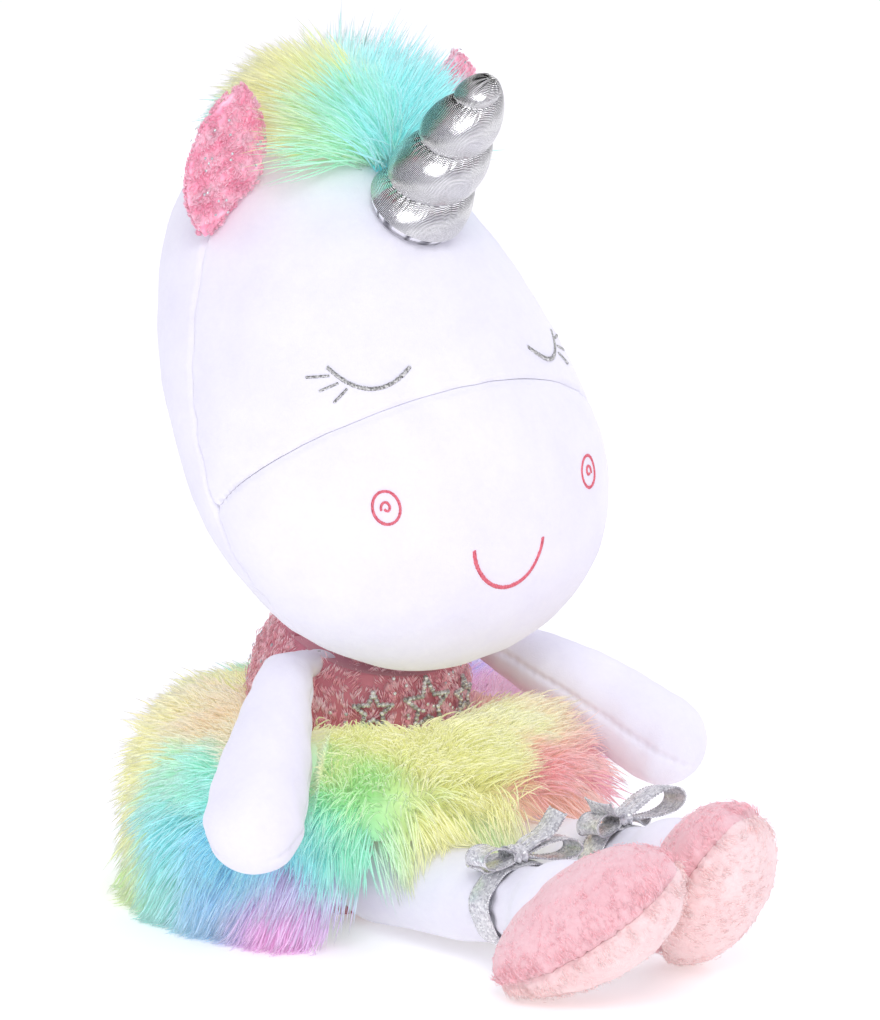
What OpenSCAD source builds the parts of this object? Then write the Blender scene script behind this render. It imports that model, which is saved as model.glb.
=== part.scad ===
// A soft toy unicorn that sits on the floor with its legs forward.
// The toy faces -Y, +X is its left side and +Z is up. The origin is the middle of the
// flat seat panel, on the surface that the toy sits on.

/* [Head] */
// Height of the head from chin to crown
head_h = 170; // [160:1:176]
// Height of the middle of the head above the seat
head_mid_z = 166.5; // [166:0.5:172]
// Half width of the head at mid height
head_half_w = 68; // [60:1:70]
// Half depth of the head at mid height
head_half_d = 63; // [58:1:66]
// Extra half width of the muzzle, taken from the crown
muzzle_spread = 15; // [8:1:16]
// How far the muzzle is pushed forward and the crown back
muzzle_reach = 29; // [24:1:31]

/* [Horn and ears] */
// Length of the horn
horn_len = 60; // [50:1:70]
// Diameter of the horn at its base
horn_d = 32; // [26:1:33]
// Number of swollen turns on the horn
horn_turns = 3; // [2:1:4]
// Length of an ear from its lower tip to its point
ear_len = 52; // [44:1:56]
// Width of an ear
ear_w = 25; // [20:1:28]
// Height of the pile of the mane
mane_pile = 26; // [18:1:28]

/* [Body] */
// Radius of the chest
chest_r = 34; // [31:0.5:34.5]
// Radius of the lower body
hip_r = 37; // [36:0.5:38]
// Height of the seam where the skirt is gathered
waist_z = 57; // [54:1:58]
// Radius of the skirt at the hem
skirt_r = 66; // [63:1:70]

/* [Arms] */
// Length from the shoulder to the middle of the hand
arm_len = 66; // [60:1:68]
// Radius of the hand
hand_r = 15.5; // [13:0.5:16]

/* [Legs] */
// Radius of a leg at the thigh
thigh_r = 15.5; // [14:0.5:15.5]
// Length of a foot from heel to toe
foot_len = 70; // [62:1:72]
// Width of a foot
foot_w = 42; // [38:1:43]
// Thickness of a foot from sole to instep
foot_t = 36; // [34:1:40]
// Width of the ankle ribbons
ribbon_w = 10; // [6:0.5:11]

/* [Fabric] */
// Thickness of the plush fabric
cloth = 1.6; // [1.2:0.1:2]

/* [Hidden] */

white = "#F5F3FA";
fluff = "#FFFFFF";
rose = "#E79AAE";
sole_pink = "#F7BFC4";
silver = "#C9CACD";
coral = "#EE7F8E";
gap = 0.3;
right = -1;
left = 1;

// The head is a stack of ellipses. A level is an angle: 0 is the chin, 180 the crown.
head_steps = 10;
turn_step = 10;
side_seam = 95;
front_seam_z = 178;
front_seam_drop = 37;
head_y = -7.5;
brow_depth = 8;

function head_swell(p) = sin(90 * cos(p));
function head_z(p, inset) = head_mid_z - (head_h / 2 - inset) * cos(p);
function head_a(p, inset) = (head_half_w + muzzle_spread * head_swell(p) - inset) * sin(p);
function head_b(p, inset) = (head_half_d - brow_depth * head_swell(p) - inset) * sin(p);
function head_c(p) = head_y - muzzle_reach * head_swell(p);
function head_point(t, p, inset) = [
    head_a(p, inset) * sin(t),
    head_c(p) - head_b(p, inset) * cos(t),
    head_z(p, inset)
];
function level_of(z) = acos((head_mid_z - z) / (head_h / 2));
function face_seam_level(t) =
    level_of(front_seam_z - front_seam_drop * (1 - cos(t)));
function mix(a, b, f) = a + (b - a) * f;

// The neck is a stub with a round top, and the head rocks about the middle of that top.
neck_y = -2;
neck_z = 78;
neck_r = 15;
neck_pocket_z = 64;

// Shoulders, hips and the places that the limbs reach to.
shoulder = [39, -14, 82];
shoulder_r = 7.5;
right_arm_run = [-40, -35.5, -37.5];
left_arm_run = [38, -45, -33];
hip = [19, -38, 16.2];
right_instep = [-24, -136, 24];
left_instep = [22, -134, 30];
instep_r = 18;
ankle_r = 12.2;
ankle_back = 26;

// A closed solid through a list of rings that all have the same number of points.
module loft(rings) {
    n = len(rings);
    m = len(rings[0]);
    points = [for (ring = rings) each ring];
    middles = [mean(rings[0]), mean(rings[n - 1])];
    sides = [for (i = [0:n - 2], j = [0:m - 1], half = [0, 1])
        let (a = i * m + j, b = i * m + (j + 1) % m)
        half == 0 ? [a, a + m, b] : [b, a + m, b + m]];
    bottom = [for (j = [0:m - 1]) [j, (j + 1) % m, n * m]];
    top = [for (j = [0:m - 1]) [(n - 1) * m + (j + 1) % m, (n - 1) * m + j, n * m + 1]];
    polyhedron(concat(points, middles), concat(sides, bottom, top), convexity = 6);
}

function mean(ring) = [for (k = [0:2]) total([for (p = ring) p[k]]) / len(ring)];
function total(list, i = 0) = i == len(list) ? 0 : list[i] + total(list, i + 1);

// A sewn panel: rows of points on its outside and the same rows on its inside.
module panel(outside, inside) {
    n = len(outside);
    m = len(outside[0]);
    size = n * m;
    points = concat([for (row = outside) each row], [for (row = inside) each row]);
    skins = [for (i = [0:n - 2], j = [0:m - 2], side = [0, 1], half = [0, 1])
        let (a = side * size + i * m + j, b = a + 1, c = a + m, d = c + 1)
        side == 0
            ? (half == 0 ? [a, c, b] : [b, c, d])
            : (half == 0 ? [a, b, c] : [b, d, c])];
    rims = [for (j = [0:m - 2], row = [0, n - 1], half = [0, 1])
        let (a = row * m + j, b = a + 1, c = a + size, d = b + size)
        row == 0
            ? (half == 0 ? [a, b, c] : [b, d, c])
            : (half == 0 ? [a, c, b] : [b, c, d])];
    edges = [for (i = [0:n - 2], col = [0, m - 1], half = [0, 1])
        let (a = i * m + col, b = a + m, c = a + size, d = b + size)
        col == 0
            ? (half == 0 ? [a, c, b] : [b, c, d])
            : (half == 0 ? [a, b, c] : [b, d, c])];
    polyhedron(points, concat(skins, rims, edges), convexity = 8);
}

// A panel of the head between two turns and two levels. low and high hold one level per turn.
module head_panel(turns, low, high, steps) {
    rows = [for (inset = [0, cloth])
        [for (i = [0:steps])
            [for (j = [0:len(turns) - 1])
                head_point(turns[j], mix(low[j], high[j], i / steps), inset)]]];
    panel(rows[0], rows[1]);
}

// Six-sided thread laid on the head's cloth. Its stops are pairs of a turn and a height.
module head_thread(stops, thread_r) {
    path = [for (s = stops) head_point(s[0], level_of(s[1]), -thread_r - 0.15)];
    n = len(path);
    loft([for (i = [0:n - 1])
        let (
            along = unit(path[min(i + 1, n - 1)] - path[max(i - 1, 0)]),
            side = unit(cross(along, path[i] - [0, head_y, head_mid_z])),
            up = cross(side, along)
        )
        [for (k = [0:5]) path[i] + thread_r * (cos(60 * k) * side + sin(60 * k) * up)]]);
}

function unit(v) = v / norm(v);

// Turns +Z towards a direction.
module aim(v) {
    rotate([0, acos(v[2] / norm(v)), atan2(v[1], v[0])])
    children();
}

function mirrored(p, side) = [side * p[0], p[1], p[2]];

/* ---- torso ---- */

chest_top = 72;
shoulder_z = 83;
neck_seam_z = 92;

// Outline of the torso from the seat to the neck, drawn inwards by an inset.
function torso_outline(inset) = [
    [0, 2 * cloth + inset],
    [30 - inset, 2 * cloth + inset],
    [hip_r - 1.5 - inset, 11],
    [hip_r - inset, 20],
    [hip_r - 1 - inset, 34],
    [chest_r + 0.5 - inset, 46],
    [chest_r - inset, waist_z],
    [chest_r - inset, chest_top],
    [chest_r - 3 - inset, shoulder_z],
    [chest_r - 9 - inset, neck_seam_z - inset],
    [0, neck_seam_z + 5 - inset]
];

module torso_solid(inset, start, sweep) {
    difference() {
        rotate([0, 0, start])
        rotate_extrude(angle = sweep, $fn = 72)
        polygon(torso_outline(inset));
        torso_openings(inset);
    }
}

// Room for the head, the neck stub and the two hips.
module torso_openings(inset) {
    translate([0, -29, 154])
    sphere(r = 75.5 + inset, $fn = 72);
    translate([0, neck_y, neck_pocket_z - inset])
    cylinder(r = neck_r + 1 + inset, h = 60, $fn = 48);
    for (side = [right, left])
        translate(mirrored(hip, side))
        sphere(r = thigh_r + 0.8 + inset, $fn = 48);
}

module torso_cover(start) {
    difference() {
        torso_solid(0, start + 0.4, 179.2);
        rotate_extrude($fn = 72)
        polygon(torso_outline(cloth));
    }
}

module torso_front_cover() {
    color(rose)
    torso_cover(180);
}

module torso_back_cover() {
    color(rose)
    torso_cover(0);
}

pellet_top = 24;

module torso_stuffing() {
    color(fluff)
    intersection() {
        torso_solid(cloth + 0.2, 0, 360);
        translate([-60, -60, pellet_top + gap])
        cube([120, 120, 100]);
    }
}

module pellet_bag() {
    color("#DADADA")
    intersection() {
        torso_solid(cloth + 0.2, 0, 360);
        translate([-60, -60, 0])
        cube([120, 120, pellet_top]);
    }
}

// The flat round panel that the toy sits on.
module seat_panel() {
    color(rose)
    cylinder(r = 30, h = 2 * cloth - gap, $fn = 72);
}

// Radius of the chest at a height above the waist.
function chest_at(z) = chest_r - 3 * max(z - chest_top, 0) / (shoulder_z - chest_top);

// Silver beads sewn on the chest: a five-pointed star between two smaller ones.
module chest_beads() {
    star_z = 68.5;
    star_step = 18;
    big_star_r = 8.5;
    small_star_r = 6;
    color(silver) {
        bead_star(0, star_z, big_star_r, 3);
        for (side = [right, left])
            bead_star(side * star_step, star_z - 0.5, small_star_r, 2);
    }
}

// One star of beads. x is measured round the chest from its middle.
module bead_star(x, z, star_r, beads_per_edge) {
    inner = 0.45;
    bead_r = 0.9;
    bead_t = 1.6;
    corners = [for (k = [0:9])
        let (r = k % 2 == 0 ? star_r : star_r * inner)
        [r * sin(36 * k), r * cos(36 * k)]];
    for (k = [0:9], i = [0:beads_per_edge - 1]) {
        spot = [x, z] + mix(corners[k], corners[(k + 1) % 10], i / beads_per_edge);
        rotate([0, 0, spot[0] / chest_r * 180 / PI])
        translate([0, -chest_at(spot[1]) - gap, spot[1]])
        rotate([90, 0, 0])
        cylinder(r = bead_r, h = bead_t, $fn = 16);
    }
}

/* ---- skirt ---- */

gather_r = 60;
gather_z = 46;
ruffle_t = 5;
hem_z = 1.5;
skirt_y = -5;

module waist_elastic() {
    color("#F3E7B8")
    translate([0, 0, waist_z])
    rotate_extrude($fn = 72)
    translate([chest_r + 1.6, 0])
    circle(r = 1.3, $fn = 16);
}

// The fabric from the waist out to the gathering line.
module skirt_upper_ruffle() {
    color("#F6EFA9")
    difference() {
        translate([0, skirt_y, 0])
        rotate_extrude($fn = 72)
        polygon([
            [30, waist_z + 3.5],
            [46, waist_z + 1.5],
            [gather_r, gather_z + gap],
            [gather_r - ruffle_t, gather_z + gap],
            [44, waist_z - 5],
            [30, waist_z - 2.5]
        ]);
        translate([0, 0, 30])
        cylinder(r = chest_r + 3.2, h = 50, $fn = 72);
    }
}

// The fabric from the gathering line down to the hem, open at the front over the legs.
module skirt_lower_ruffle() {
    arch_half = 44;
    arch_top = 37;
    color("#8FD8DC")
    difference() {
        translate([0, skirt_y, 0])
        rotate_extrude($fn = 72)
        polygon([
            [gather_r, gather_z],
            [gather_r + 4, 38],
            [skirt_r - 1, 20],
            [skirt_r, hem_z],
            [skirt_r - ruffle_t, hem_z],
            [skirt_r - ruffle_t - 1, 20],
            [gather_r - 1, 36],
            [gather_r - ruffle_t, gather_z]
        ]);
        translate([-arch_half, -100, -1])
        cube([2 * arch_half, 100, arch_top + 1]);
    }
}

/* ---- neck ---- */

module neck_plug(inset) {
    foot = neck_pocket_z + 0.6 + inset;
    translate([0, neck_y, 0]) {
        translate([0, 0, foot])
        cylinder(r = neck_r - inset, h = neck_z - foot, $fn = 48);
        translate([0, 0, neck_z])
        sphere(r = neck_r - inset, $fn = 48);
    }
}

module neck_cover() {
    color(white)
    difference() {
        neck_plug(0);
        neck_plug(cloth);
    }
}

module neck_stuffing() {
    color(fluff)
    neck_plug(cloth + 0.2);
}

/* ---- head ---- */

chin_level = 1.5;
crown_level = 178.5;
front_turns = [for (t = [-side_seam:turn_step:side_seam]) t];
back_turns = [for (j = [0:17]) side_seam + 0.3 + j * (360 - 2 * side_seam - 0.6) / 17];

// The upper face, above the seam that runs across it.
module forehead_cover() {
    color(white)
    head_panel(
        front_turns,
        [for (t = front_turns) face_seam_level(t) + 0.2],
        [for (t = front_turns) crown_level],
        head_steps
    );
}

// The muzzle, from the seam across the face down to the chin.
module muzzle_cover() {
    color(white)
    head_panel(
        front_turns,
        [for (t = front_turns) chin_level],
        [for (t = front_turns) face_seam_level(t) - 0.2],
        head_steps
    );
}

module head_back_cover() {
    color(white)
    head_panel(
        back_turns,
        [for (t = back_turns) chin_level],
        [for (t = back_turns) crown_level],
        2 * head_steps
    );
}

module head_stuffing() {
    inset = cloth + 1.1;
    color(fluff)
    loft([for (p = [6:8:174])
        [for (t = [0:turn_step:359]) head_point(t, p, inset)]]);
}

/* ---- face stitches ---- */

eye_turn = 34.5;
eye_z = 179;
eye_half = 12;
eye_sag = 6;
lash_len = 7;
stitch_r = 0.8;

// A closed eye: one arc and three lashes at its outer end.
module eye_stitches(side) {
    color(silver) {
        head_thread(
            [for (f = [-1:0.25:1]) [side * (eye_turn + eye_half * f), eye_z + eye_sag * f * f]],
            stitch_r
        );
        for (k = [0:2]) {
            root = 0.93 - 0.2 * k;
            head_thread(
                [for (f = [0, 0.5, 1]) [
                    side * (eye_turn + eye_half * root + 1.6 + f * (lash_len - 1.4 * k)),
                    eye_z + eye_sag * root * root - 2.6 - f * (0.5 + 0.9 * k)
                ]],
                stitch_r * 0.6
            );
        }
    }
}

// A nostril: a stitched ring with a short curl in the middle.
module nostril_stitches(side) {
    nostril_turn = 34.5;
    nostril_z = 144;
    color(coral) {
        head_thread(
            [for (a = [0:30:330]) [side * (nostril_turn + 3.7 * cos(a)), nostril_z + 5 * sin(a)]],
            0.7
        );
        head_thread(
            [for (a = [0:45:180]) [side * (nostril_turn + 1.2 * cos(a)), nostril_z + 1.6 * sin(a)]],
            0.5
        );
    }
}

module mouth_stitches() {
    mouth_half = 11.5;
    mouth_z = 114.5;
    mouth_rise = 14;
    color(coral)
    head_thread(
        [for (f = [-1:0.125:1]) [mouth_half * sin(90 * f), mouth_z + mouth_rise * (1 - cos(90 * f))]],
        0.8
    );
}

module right_eye_stitches() { eye_stitches(right); }
module left_eye_stitches() { eye_stitches(left); }
module right_nostril_stitches() { nostril_stitches(right); }
module left_nostril_stitches() { nostril_stitches(left); }

/* ---- horn ---- */

horn_root = [0, -31, 230];
horn_lean = 39.5;
horn_rows = 30;
horn_sides = 24;

// Radius of the horn: a blunt cone that swells between the turns of a right-handed groove.
function horn_radius(f, t) =
    horn_d / 2 * (1 - 0.34 * f) * sqrt(1.001 - pow(f, 5))
    * (0.8 + 0.24 * sqrt(abs(sin(180 * (horn_turns * f + 0.1 - t / 360)))));

function horn_row(f, inset) = [for (k = [0:horn_sides])
    let (t = k * 359 / horn_sides, r = max(horn_radius(f, t) - inset, 0.4))
    [r * cos(t), r * sin(t), f * horn_len]];

module place_horn() {
    translate(horn_root)
    rotate([horn_lean, 0, 0])
    translate([0, 0, 0.6])
    children();
}

module horn_cover() {
    color(silver)
    place_horn()
    panel(
        [for (i = [0:horn_rows]) horn_row(i / horn_rows, 0)],
        [for (i = [0:horn_rows]) horn_row(i / horn_rows, 0.8)]
    );
}

module horn_stuffing() {
    color(fluff)
    place_horn()
    loft([for (i = [0:24]) let (f = 0.02 + 0.84 * i / 24)
        [for (k = [0:horn_sides - 1])
            let (t = k * 360 / horn_sides, r = horn_radius(f, t) - 1.9)
            [r * cos(t), r * sin(t), f * horn_len]]]);
}

/* ---- mane ---- */

// A tuft of long pile that stands on the crown behind the horn and lies lower at the back.
module mane() {
    mane_y = 20;
    mane_z = 203;
    mane_in = 53;
    root_half = 11;
    mane_half = 19;
    mane_front = -27;
    mane_back = 44;
    color("#B9F0D8")
    intersection() {
        translate([0, mane_y, mane_z])
        rotate([0, -90, 0])
        rotate([0, 0, mane_front])
        rotate_extrude(angle = mane_back - mane_front, $fn = 72)
        polygon([
            [mane_in, -root_half],
            [mane_in + 0.5 * mane_pile, -mane_half],
            [mane_in + 0.85 * mane_pile, -0.6 * mane_half],
            [mane_in + mane_pile, 0],
            [mane_in + 0.85 * mane_pile, 0.6 * mane_half],
            [mane_in + 0.5 * mane_pile, mane_half],
            [mane_in, root_half]
        ]);
        translate([-50, 5, 225])
        rotate([0, 90, 0])
        cylinder(r = 55, h = 100, $fn = 96);
    }
}

/* ---- ears ---- */

ear_middle = [45, 11, 242];
ear_panel_t = 2.2;

// The outline of an ear: a leaf with its lower inner edge cut off along the seam.
module ear_outline() {
    bow = (pow(ear_len, 2) + pow(ear_w, 2)) / (4 * ear_w);
    difference() {
        intersection() {
            translate([bow - ear_w / 2, 0])
            circle(r = bow, $fn = 96);
            translate([ear_w / 2 - bow, 0])
            circle(r = bow, $fn = 96);
        }
        translate([-1, -ear_len / 2])
        rotate(28)
        translate([-40, -20])
        square([40, 80]);
    }
}

module ear_panel(side, lift) {
    translate(mirrored(ear_middle, side))
    rotate([106, 0, 0])
    rotate([0, side * 12, side * 5])
    mirror([side == right ? 1 : 0, 0, 0])
    translate([0, 0, lift])
    linear_extrude(ear_panel_t)
    ear_outline();
}

module right_ear_front() { color(rose) ear_panel(right, 0.15); }
module right_ear_back() { color(rose) ear_panel(right, -0.15 - ear_panel_t); }
module left_ear_front() { color(rose) ear_panel(left, 0.15); }
module left_ear_back() { color(rose) ear_panel(left, -0.15 - ear_panel_t); }

/* ---- arms ---- */

// Outline of an arm: a small ball at the shoulder that widens to a round hand.
function arm_outline(inset) = concat(
    [for (a = [-90:15:0]) (shoulder_r - inset) * [cos(a), sin(a)]],
    [for (f = [0.2:0.1:0.9])
        [mix(shoulder_r, hand_r, sin(90 * f)) - inset, f * arm_len]],
    [for (a = [0:10:90]) [0, arm_len] + (hand_r - inset) * [cos(a), sin(a)]]
);

module arm_solid(side, inset) {
    translate(mirrored(shoulder, side))
    aim(side == right ? right_arm_run : left_arm_run)
    rotate_extrude($fn = 48)
    polygon(arm_outline(inset));
}

module arm_cover(side) {
    color(white)
    difference() {
        arm_solid(side, 0);
        arm_solid(side, cloth);
    }
}

module arm_stuffing(side) {
    color(fluff)
    arm_solid(side, cloth + 0.2);
}

module right_arm_cover() { arm_cover(right); }
module right_arm_stuffing() { arm_stuffing(right); }
module left_arm_cover() { arm_cover(left); }
module left_arm_stuffing() { arm_stuffing(left); }

/* ---- legs and feet ---- */

// Each foot: where its middle is, the way its toe points and the way its sole faces.
function foot_place(side) = side == right ? [-27, -151.5] : [21.5, -149.5];
function foot_toe(side) = unit(side == right ? [0.47, -0.67, 0.57] : [-0.2, -0.64, 0.745]);
function foot_sole(side) = unit(side == right ? [0.562, -0.266, -0.783] : [0.32, -0.757, -0.569]);
function foot_side(side) = unit(cross(foot_sole(side), foot_toe(side)));
function foot_rise(side) = norm([
    foot_toe(side)[2] * foot_len / 2,
    foot_side(side)[2] * foot_w / 2,
    foot_sole(side)[2] * foot_t / 2
]);
function foot_middle(side) = concat(foot_place(side), foot_rise(side) + 0.4);
function instep(side) = side == right ? right_instep : left_instep;

// A point of a foot. along runs -1 to 1 from heel to toe, around turns about that line.
function foot_point(side, along, around, inset) =
    let (
        across = sqrt(1 - along * along),
        fat = 1 + 0.12 * along,
        x = (foot_w / 2 - inset) * across * fat * cos(around),
        z = (foot_t / 2 - inset) * across * fat * sin(around)
    )
    foot_middle(side)
        + foot_toe(side) * along * (foot_len / 2 - inset)
        + foot_side(side) * x
        - foot_sole(side) * z;

foot_stops = [for (a = [2.5:12.5:177.5]) -cos(a)];

// Half of the foot's skin. The edge seam between the halves runs round the toe.
module foot_panel(side, start, sweep) {
    rows = [for (inset = [0, cloth])
        [for (s = foot_stops)
            [for (k = [0:12]) foot_point(side, s, start + sweep * k / 12, inset)]]];
    panel(rows[0], rows[1]);
}

module foot_upper(side) {
    color(rose)
    difference() {
        foot_panel(side, 1, 178);
        leg_solid(side, -0.4);
    }
}

module foot_sole_cover(side) {
    color(sole_pink)
    difference() {
        foot_panel(side, 181, 178);
        leg_solid(side, -0.4);
    }
}

module foot_stuffing(side) {
    color(fluff)
    difference() {
        loft([for (s = foot_stops) [for (k = [0:17]) foot_point(side, s, 20 * k, cloth + 0.5)]]);
        leg_solid(side, -0.4);
    }
}

function leg_run(side) = instep(side) - mirrored(hip, side);

module place_leg(side) {
    translate(mirrored(hip, side))
    aim(leg_run(side))
    children();
}

// The leg is a soft cone from the hip to the ankle that ends in a round instep.
module leg_solid(side, inset) {
    leg_len = norm(leg_run(side));
    place_leg(side)
    rotate_extrude($fn = 48)
    polygon(concat(
        [for (a = [-90:15:0]) (thigh_r - inset) * [cos(a), sin(a)]],
        [
            [14.4 - inset, leg_len * 0.45],
            [ankle_r + 0.5 - inset, leg_len - ankle_back - 5],
            [ankle_r - inset, leg_len - ankle_back],
            [ankle_r + 0.5 - inset, leg_len - ankle_back + 5]
        ],
        [for (a = [-30:15:90]) [0, leg_len] + (instep_r - inset) * [cos(a), sin(a)]]
    ));
}

module leg_cover(side) {
    color(white)
    difference() {
        leg_solid(side, 0);
        leg_solid(side, cloth);
    }
}

module leg_stuffing(side) {
    color(fluff)
    leg_solid(side, cloth + 0.2);
}

// A flat ribbon tied round the ankle.
module ribbon_band(side) {
    color(silver)
    place_leg(side)
    translate([0, 0, norm(leg_run(side)) - ankle_back - ribbon_w / 2])
    difference() {
        cylinder(r = ankle_r + 2.2, h = ribbon_w, $fn = 48);
        translate([0, 0, -1])
        cylinder(r = ankle_r + 1.4, h = ribbon_w + 2, $fn = 48);
    }
}

// The knot, two loops and two tails of the bow, lying on top of the ankle.
module ribbon_bow(side) {
    middle = instep(side) + [0, ankle_back, ankle_r + 3.4];
    color(silver)
    translate(middle) {
        translate([-3, -ribbon_w / 2, -1.6])
        cube([6, ribbon_w, 4]);
        for (way = [-1, 1]) {
            translate([way * 3.2, 0, 0.6])
            rotate([0, 0, way == 1 ? 0 : 180])
            ribbon_loop();
        }
    }
}

module ribbon_loop() {
    loop_len = 17;
    rotate([90, 0, 0])
    linear_extrude(ribbon_w, center = true)
    difference() {
        translate([0, -1.6])
        square([loop_len, 5.2]);
        translate([1, -0.8])
        square([loop_len - 2, 3.6]);
    }
}

module right_leg_cover() { leg_cover(right); }
module right_leg_stuffing() { leg_stuffing(right); }
module right_foot_upper() { foot_upper(right); }
module right_foot_sole() { foot_sole_cover(right); }
module right_foot_stuffing() { foot_stuffing(right); }
module right_ribbon_band() { ribbon_band(right); }
module right_ribbon_bow() { ribbon_bow(right); }
module left_leg_cover() { leg_cover(left); }
module left_leg_stuffing() { leg_stuffing(left); }
module left_foot_upper() { foot_upper(left); }
module left_foot_sole() { foot_sole_cover(left); }
module left_foot_stuffing() { foot_stuffing(left); }
module left_ribbon_band() { ribbon_band(left); }
module left_ribbon_bow() { ribbon_bow(left); }

torso_front_cover();
torso_back_cover();
torso_stuffing();
seat_panel();
pellet_bag();
waist_elastic();
skirt_upper_ruffle();
skirt_lower_ruffle();
chest_beads();
neck_cover();
neck_stuffing();
forehead_cover();
muzzle_cover();
head_back_cover();
head_stuffing();
horn_cover();
horn_stuffing();
mane();
right_eye_stitches();
left_eye_stitches();
right_nostril_stitches();
left_nostril_stitches();
mouth_stitches();
right_ear_front();
right_ear_back();
left_ear_front();
left_ear_back();
right_arm_cover();
right_arm_stuffing();
left_arm_cover();
left_arm_stuffing();
right_leg_cover();
right_leg_stuffing();
right_foot_upper();
right_foot_sole();
right_foot_stuffing();
right_ribbon_band();
right_ribbon_bow();
left_leg_cover();
left_leg_stuffing();
left_foot_upper();
left_foot_sole();
left_foot_stuffing();
left_ribbon_band();
left_ribbon_bow();
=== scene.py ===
# A seated soft toy unicorn: white plush, lame horn, pastel fur skirt and mane, pink feet.
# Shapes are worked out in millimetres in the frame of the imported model, and written in metres.
import bpy
import numpy as np
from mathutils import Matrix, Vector


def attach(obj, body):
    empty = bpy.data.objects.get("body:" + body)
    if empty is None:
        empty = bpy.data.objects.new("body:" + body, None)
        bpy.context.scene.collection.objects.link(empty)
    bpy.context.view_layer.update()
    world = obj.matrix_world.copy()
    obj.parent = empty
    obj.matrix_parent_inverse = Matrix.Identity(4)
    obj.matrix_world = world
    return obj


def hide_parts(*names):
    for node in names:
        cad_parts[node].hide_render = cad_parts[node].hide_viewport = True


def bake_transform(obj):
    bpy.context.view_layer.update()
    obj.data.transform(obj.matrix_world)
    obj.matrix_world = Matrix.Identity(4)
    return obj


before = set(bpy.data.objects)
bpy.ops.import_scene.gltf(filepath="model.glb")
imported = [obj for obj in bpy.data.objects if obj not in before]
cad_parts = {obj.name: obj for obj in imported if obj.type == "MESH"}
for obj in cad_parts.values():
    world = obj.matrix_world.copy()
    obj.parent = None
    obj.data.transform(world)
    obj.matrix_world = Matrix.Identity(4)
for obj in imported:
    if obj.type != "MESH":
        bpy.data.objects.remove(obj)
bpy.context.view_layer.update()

scene = bpy.context.scene
degree = np.pi / 180


# Camera: a long lens, so the toy looks nearly flat on
studio = {
    "azimuth": -37.9,  # degrees, negative is round to the toy's right
    "elevation": 13.2,
    "distance": 4000.0,
    "frameHigh": 326.4,  # mm of height that the frame holds
    "aimRight": 25.8,  # mm from the middle of the seat to the middle of the view
    "aimUp": 121.8,
    "sensor": 36.0,
    "floorHalf": 4.5,  # metres
    "floorGlow": 0.26,
    "ceiling": (0.12, 0.3, 1.5, 0.02),  # height where the walls end and the dark begins, and both strengths
    "fill": ("F1F0FC", 0.86),
    "lamps": (  # name, place and aim in metres, width, watts
        ("key", (-0.9, -1.3, 1.5), (0, -0.04, 0.14), 0.9, 11.5),
        ("rim", (1.3, 0.5, 1.0), (0, -0.04, 0.14), 0.7, 4.0)),
}
sides = ((-1, "right"), (1, "left"))


def viewAxes(azimuth, elevation):
    # right, up and back of a camera that looks at the toy from this direction
    a, e = azimuth * degree, elevation * degree
    back = np.array([np.sin(a) * np.cos(e), -np.cos(a) * np.cos(e), np.sin(e)])
    right = np.array([np.cos(a), np.sin(a), 0.0])
    return right, np.cross(back, right), back


def makeCamera(s):
    # focal length = sensor x distance / height of the frame
    right, up, back = viewAxes(s["azimuth"], s["elevation"])
    data = bpy.data.cameras.new("camera")
    camera = bpy.data.objects.new("camera", data)
    scene.collection.objects.link(camera)
    data.sensor_width = s["sensor"]
    data.lens = s["sensor"] * s["distance"] / s["frameHigh"]
    data.clip_end = 30
    camera.location = Vector((right * s["aimRight"] + up * s["aimUp"] + back * s["distance"]) * 0.001)
    camera.rotation_mode = "QUATERNION"
    camera.rotation_quaternion = Vector(-back).to_track_quat("-Z", "Y")
    scene.camera = camera


makeCamera(studio)
print("camera placed")


def linear(hexColour, alpha=1.0):
    # sRGB hex to the linear values that shaders use
    c = np.array([int(hexColour[i:i + 2], 16) for i in (0, 2, 4)]) / 255
    c = np.where(c <= 0.04045, c / 12.92, ((c + 0.055) / 1.055) ** 2.4)
    return (*map(float, c), alpha)


def addNode(tree, kind, settings=None, links=None):
    # adds one node, fills its sockets or properties, and links its inputs
    node = tree.nodes.new(kind)
    for key, value in (settings or {}).items():
        if isinstance(key, int) or key in node.inputs:
            node.inputs[key].default_value = value
        else:
            setattr(node, key, value)
    for key, source in (links or {}).items():
        tree.links.new(source, node.inputs[key])
    return node


def newMaterial(name):
    # an empty node tree to build a finish in
    material = bpy.data.materials.new(name)
    material.use_nodes = True
    material.node_tree.nodes.clear()
    return material, material.node_tree


def finishMaterial(tree, settings, links):
    # one shader with plain values on its own sockets, wired to the output
    shader = addNode(tree, "ShaderNodeBsdfPrincipled", settings, links)
    addNode(tree, "ShaderNodeOutputMaterial", links={"Surface": shader.outputs["BSDF"]})


def unit(v):
    # each vector divided by its length
    return v / np.maximum(np.linalg.norm(v, axis=-1, keepdims=True), 1e-9)


def mix(a, b, f):
    # a where f is 0 and b where f is 1
    return a + (b - a) * f


def smooth(low, high, x):
    # 0 below low and 1 above high, with f^2 (3 - 2 f) between
    f = np.clip((x - low) / (high - low), 0, 1)
    return f * f * (3 - 2 * f)


def crowd(count, pull=0.8):
    # stops from 0 to 1 that lie closer together at both ends: u - pull sin(2 pi u) / 2 pi
    u = np.linspace(0, 1, count)
    return u - pull * np.sin(2 * np.pi * u) / (2 * np.pi)


def gridFaces(rows, cols, wrap, start=0):
    # quads between neighbouring rows and columns of a grid of points
    i, j = np.meshgrid(np.arange(rows - 1), np.arange(cols if wrap else cols - 1), indexing="ij")
    a, b = start + i * cols + j, start + i * cols + (j + 1) % cols
    return np.stack([a, b, b + cols, a + cols], -1).reshape(-1, 4)


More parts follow.
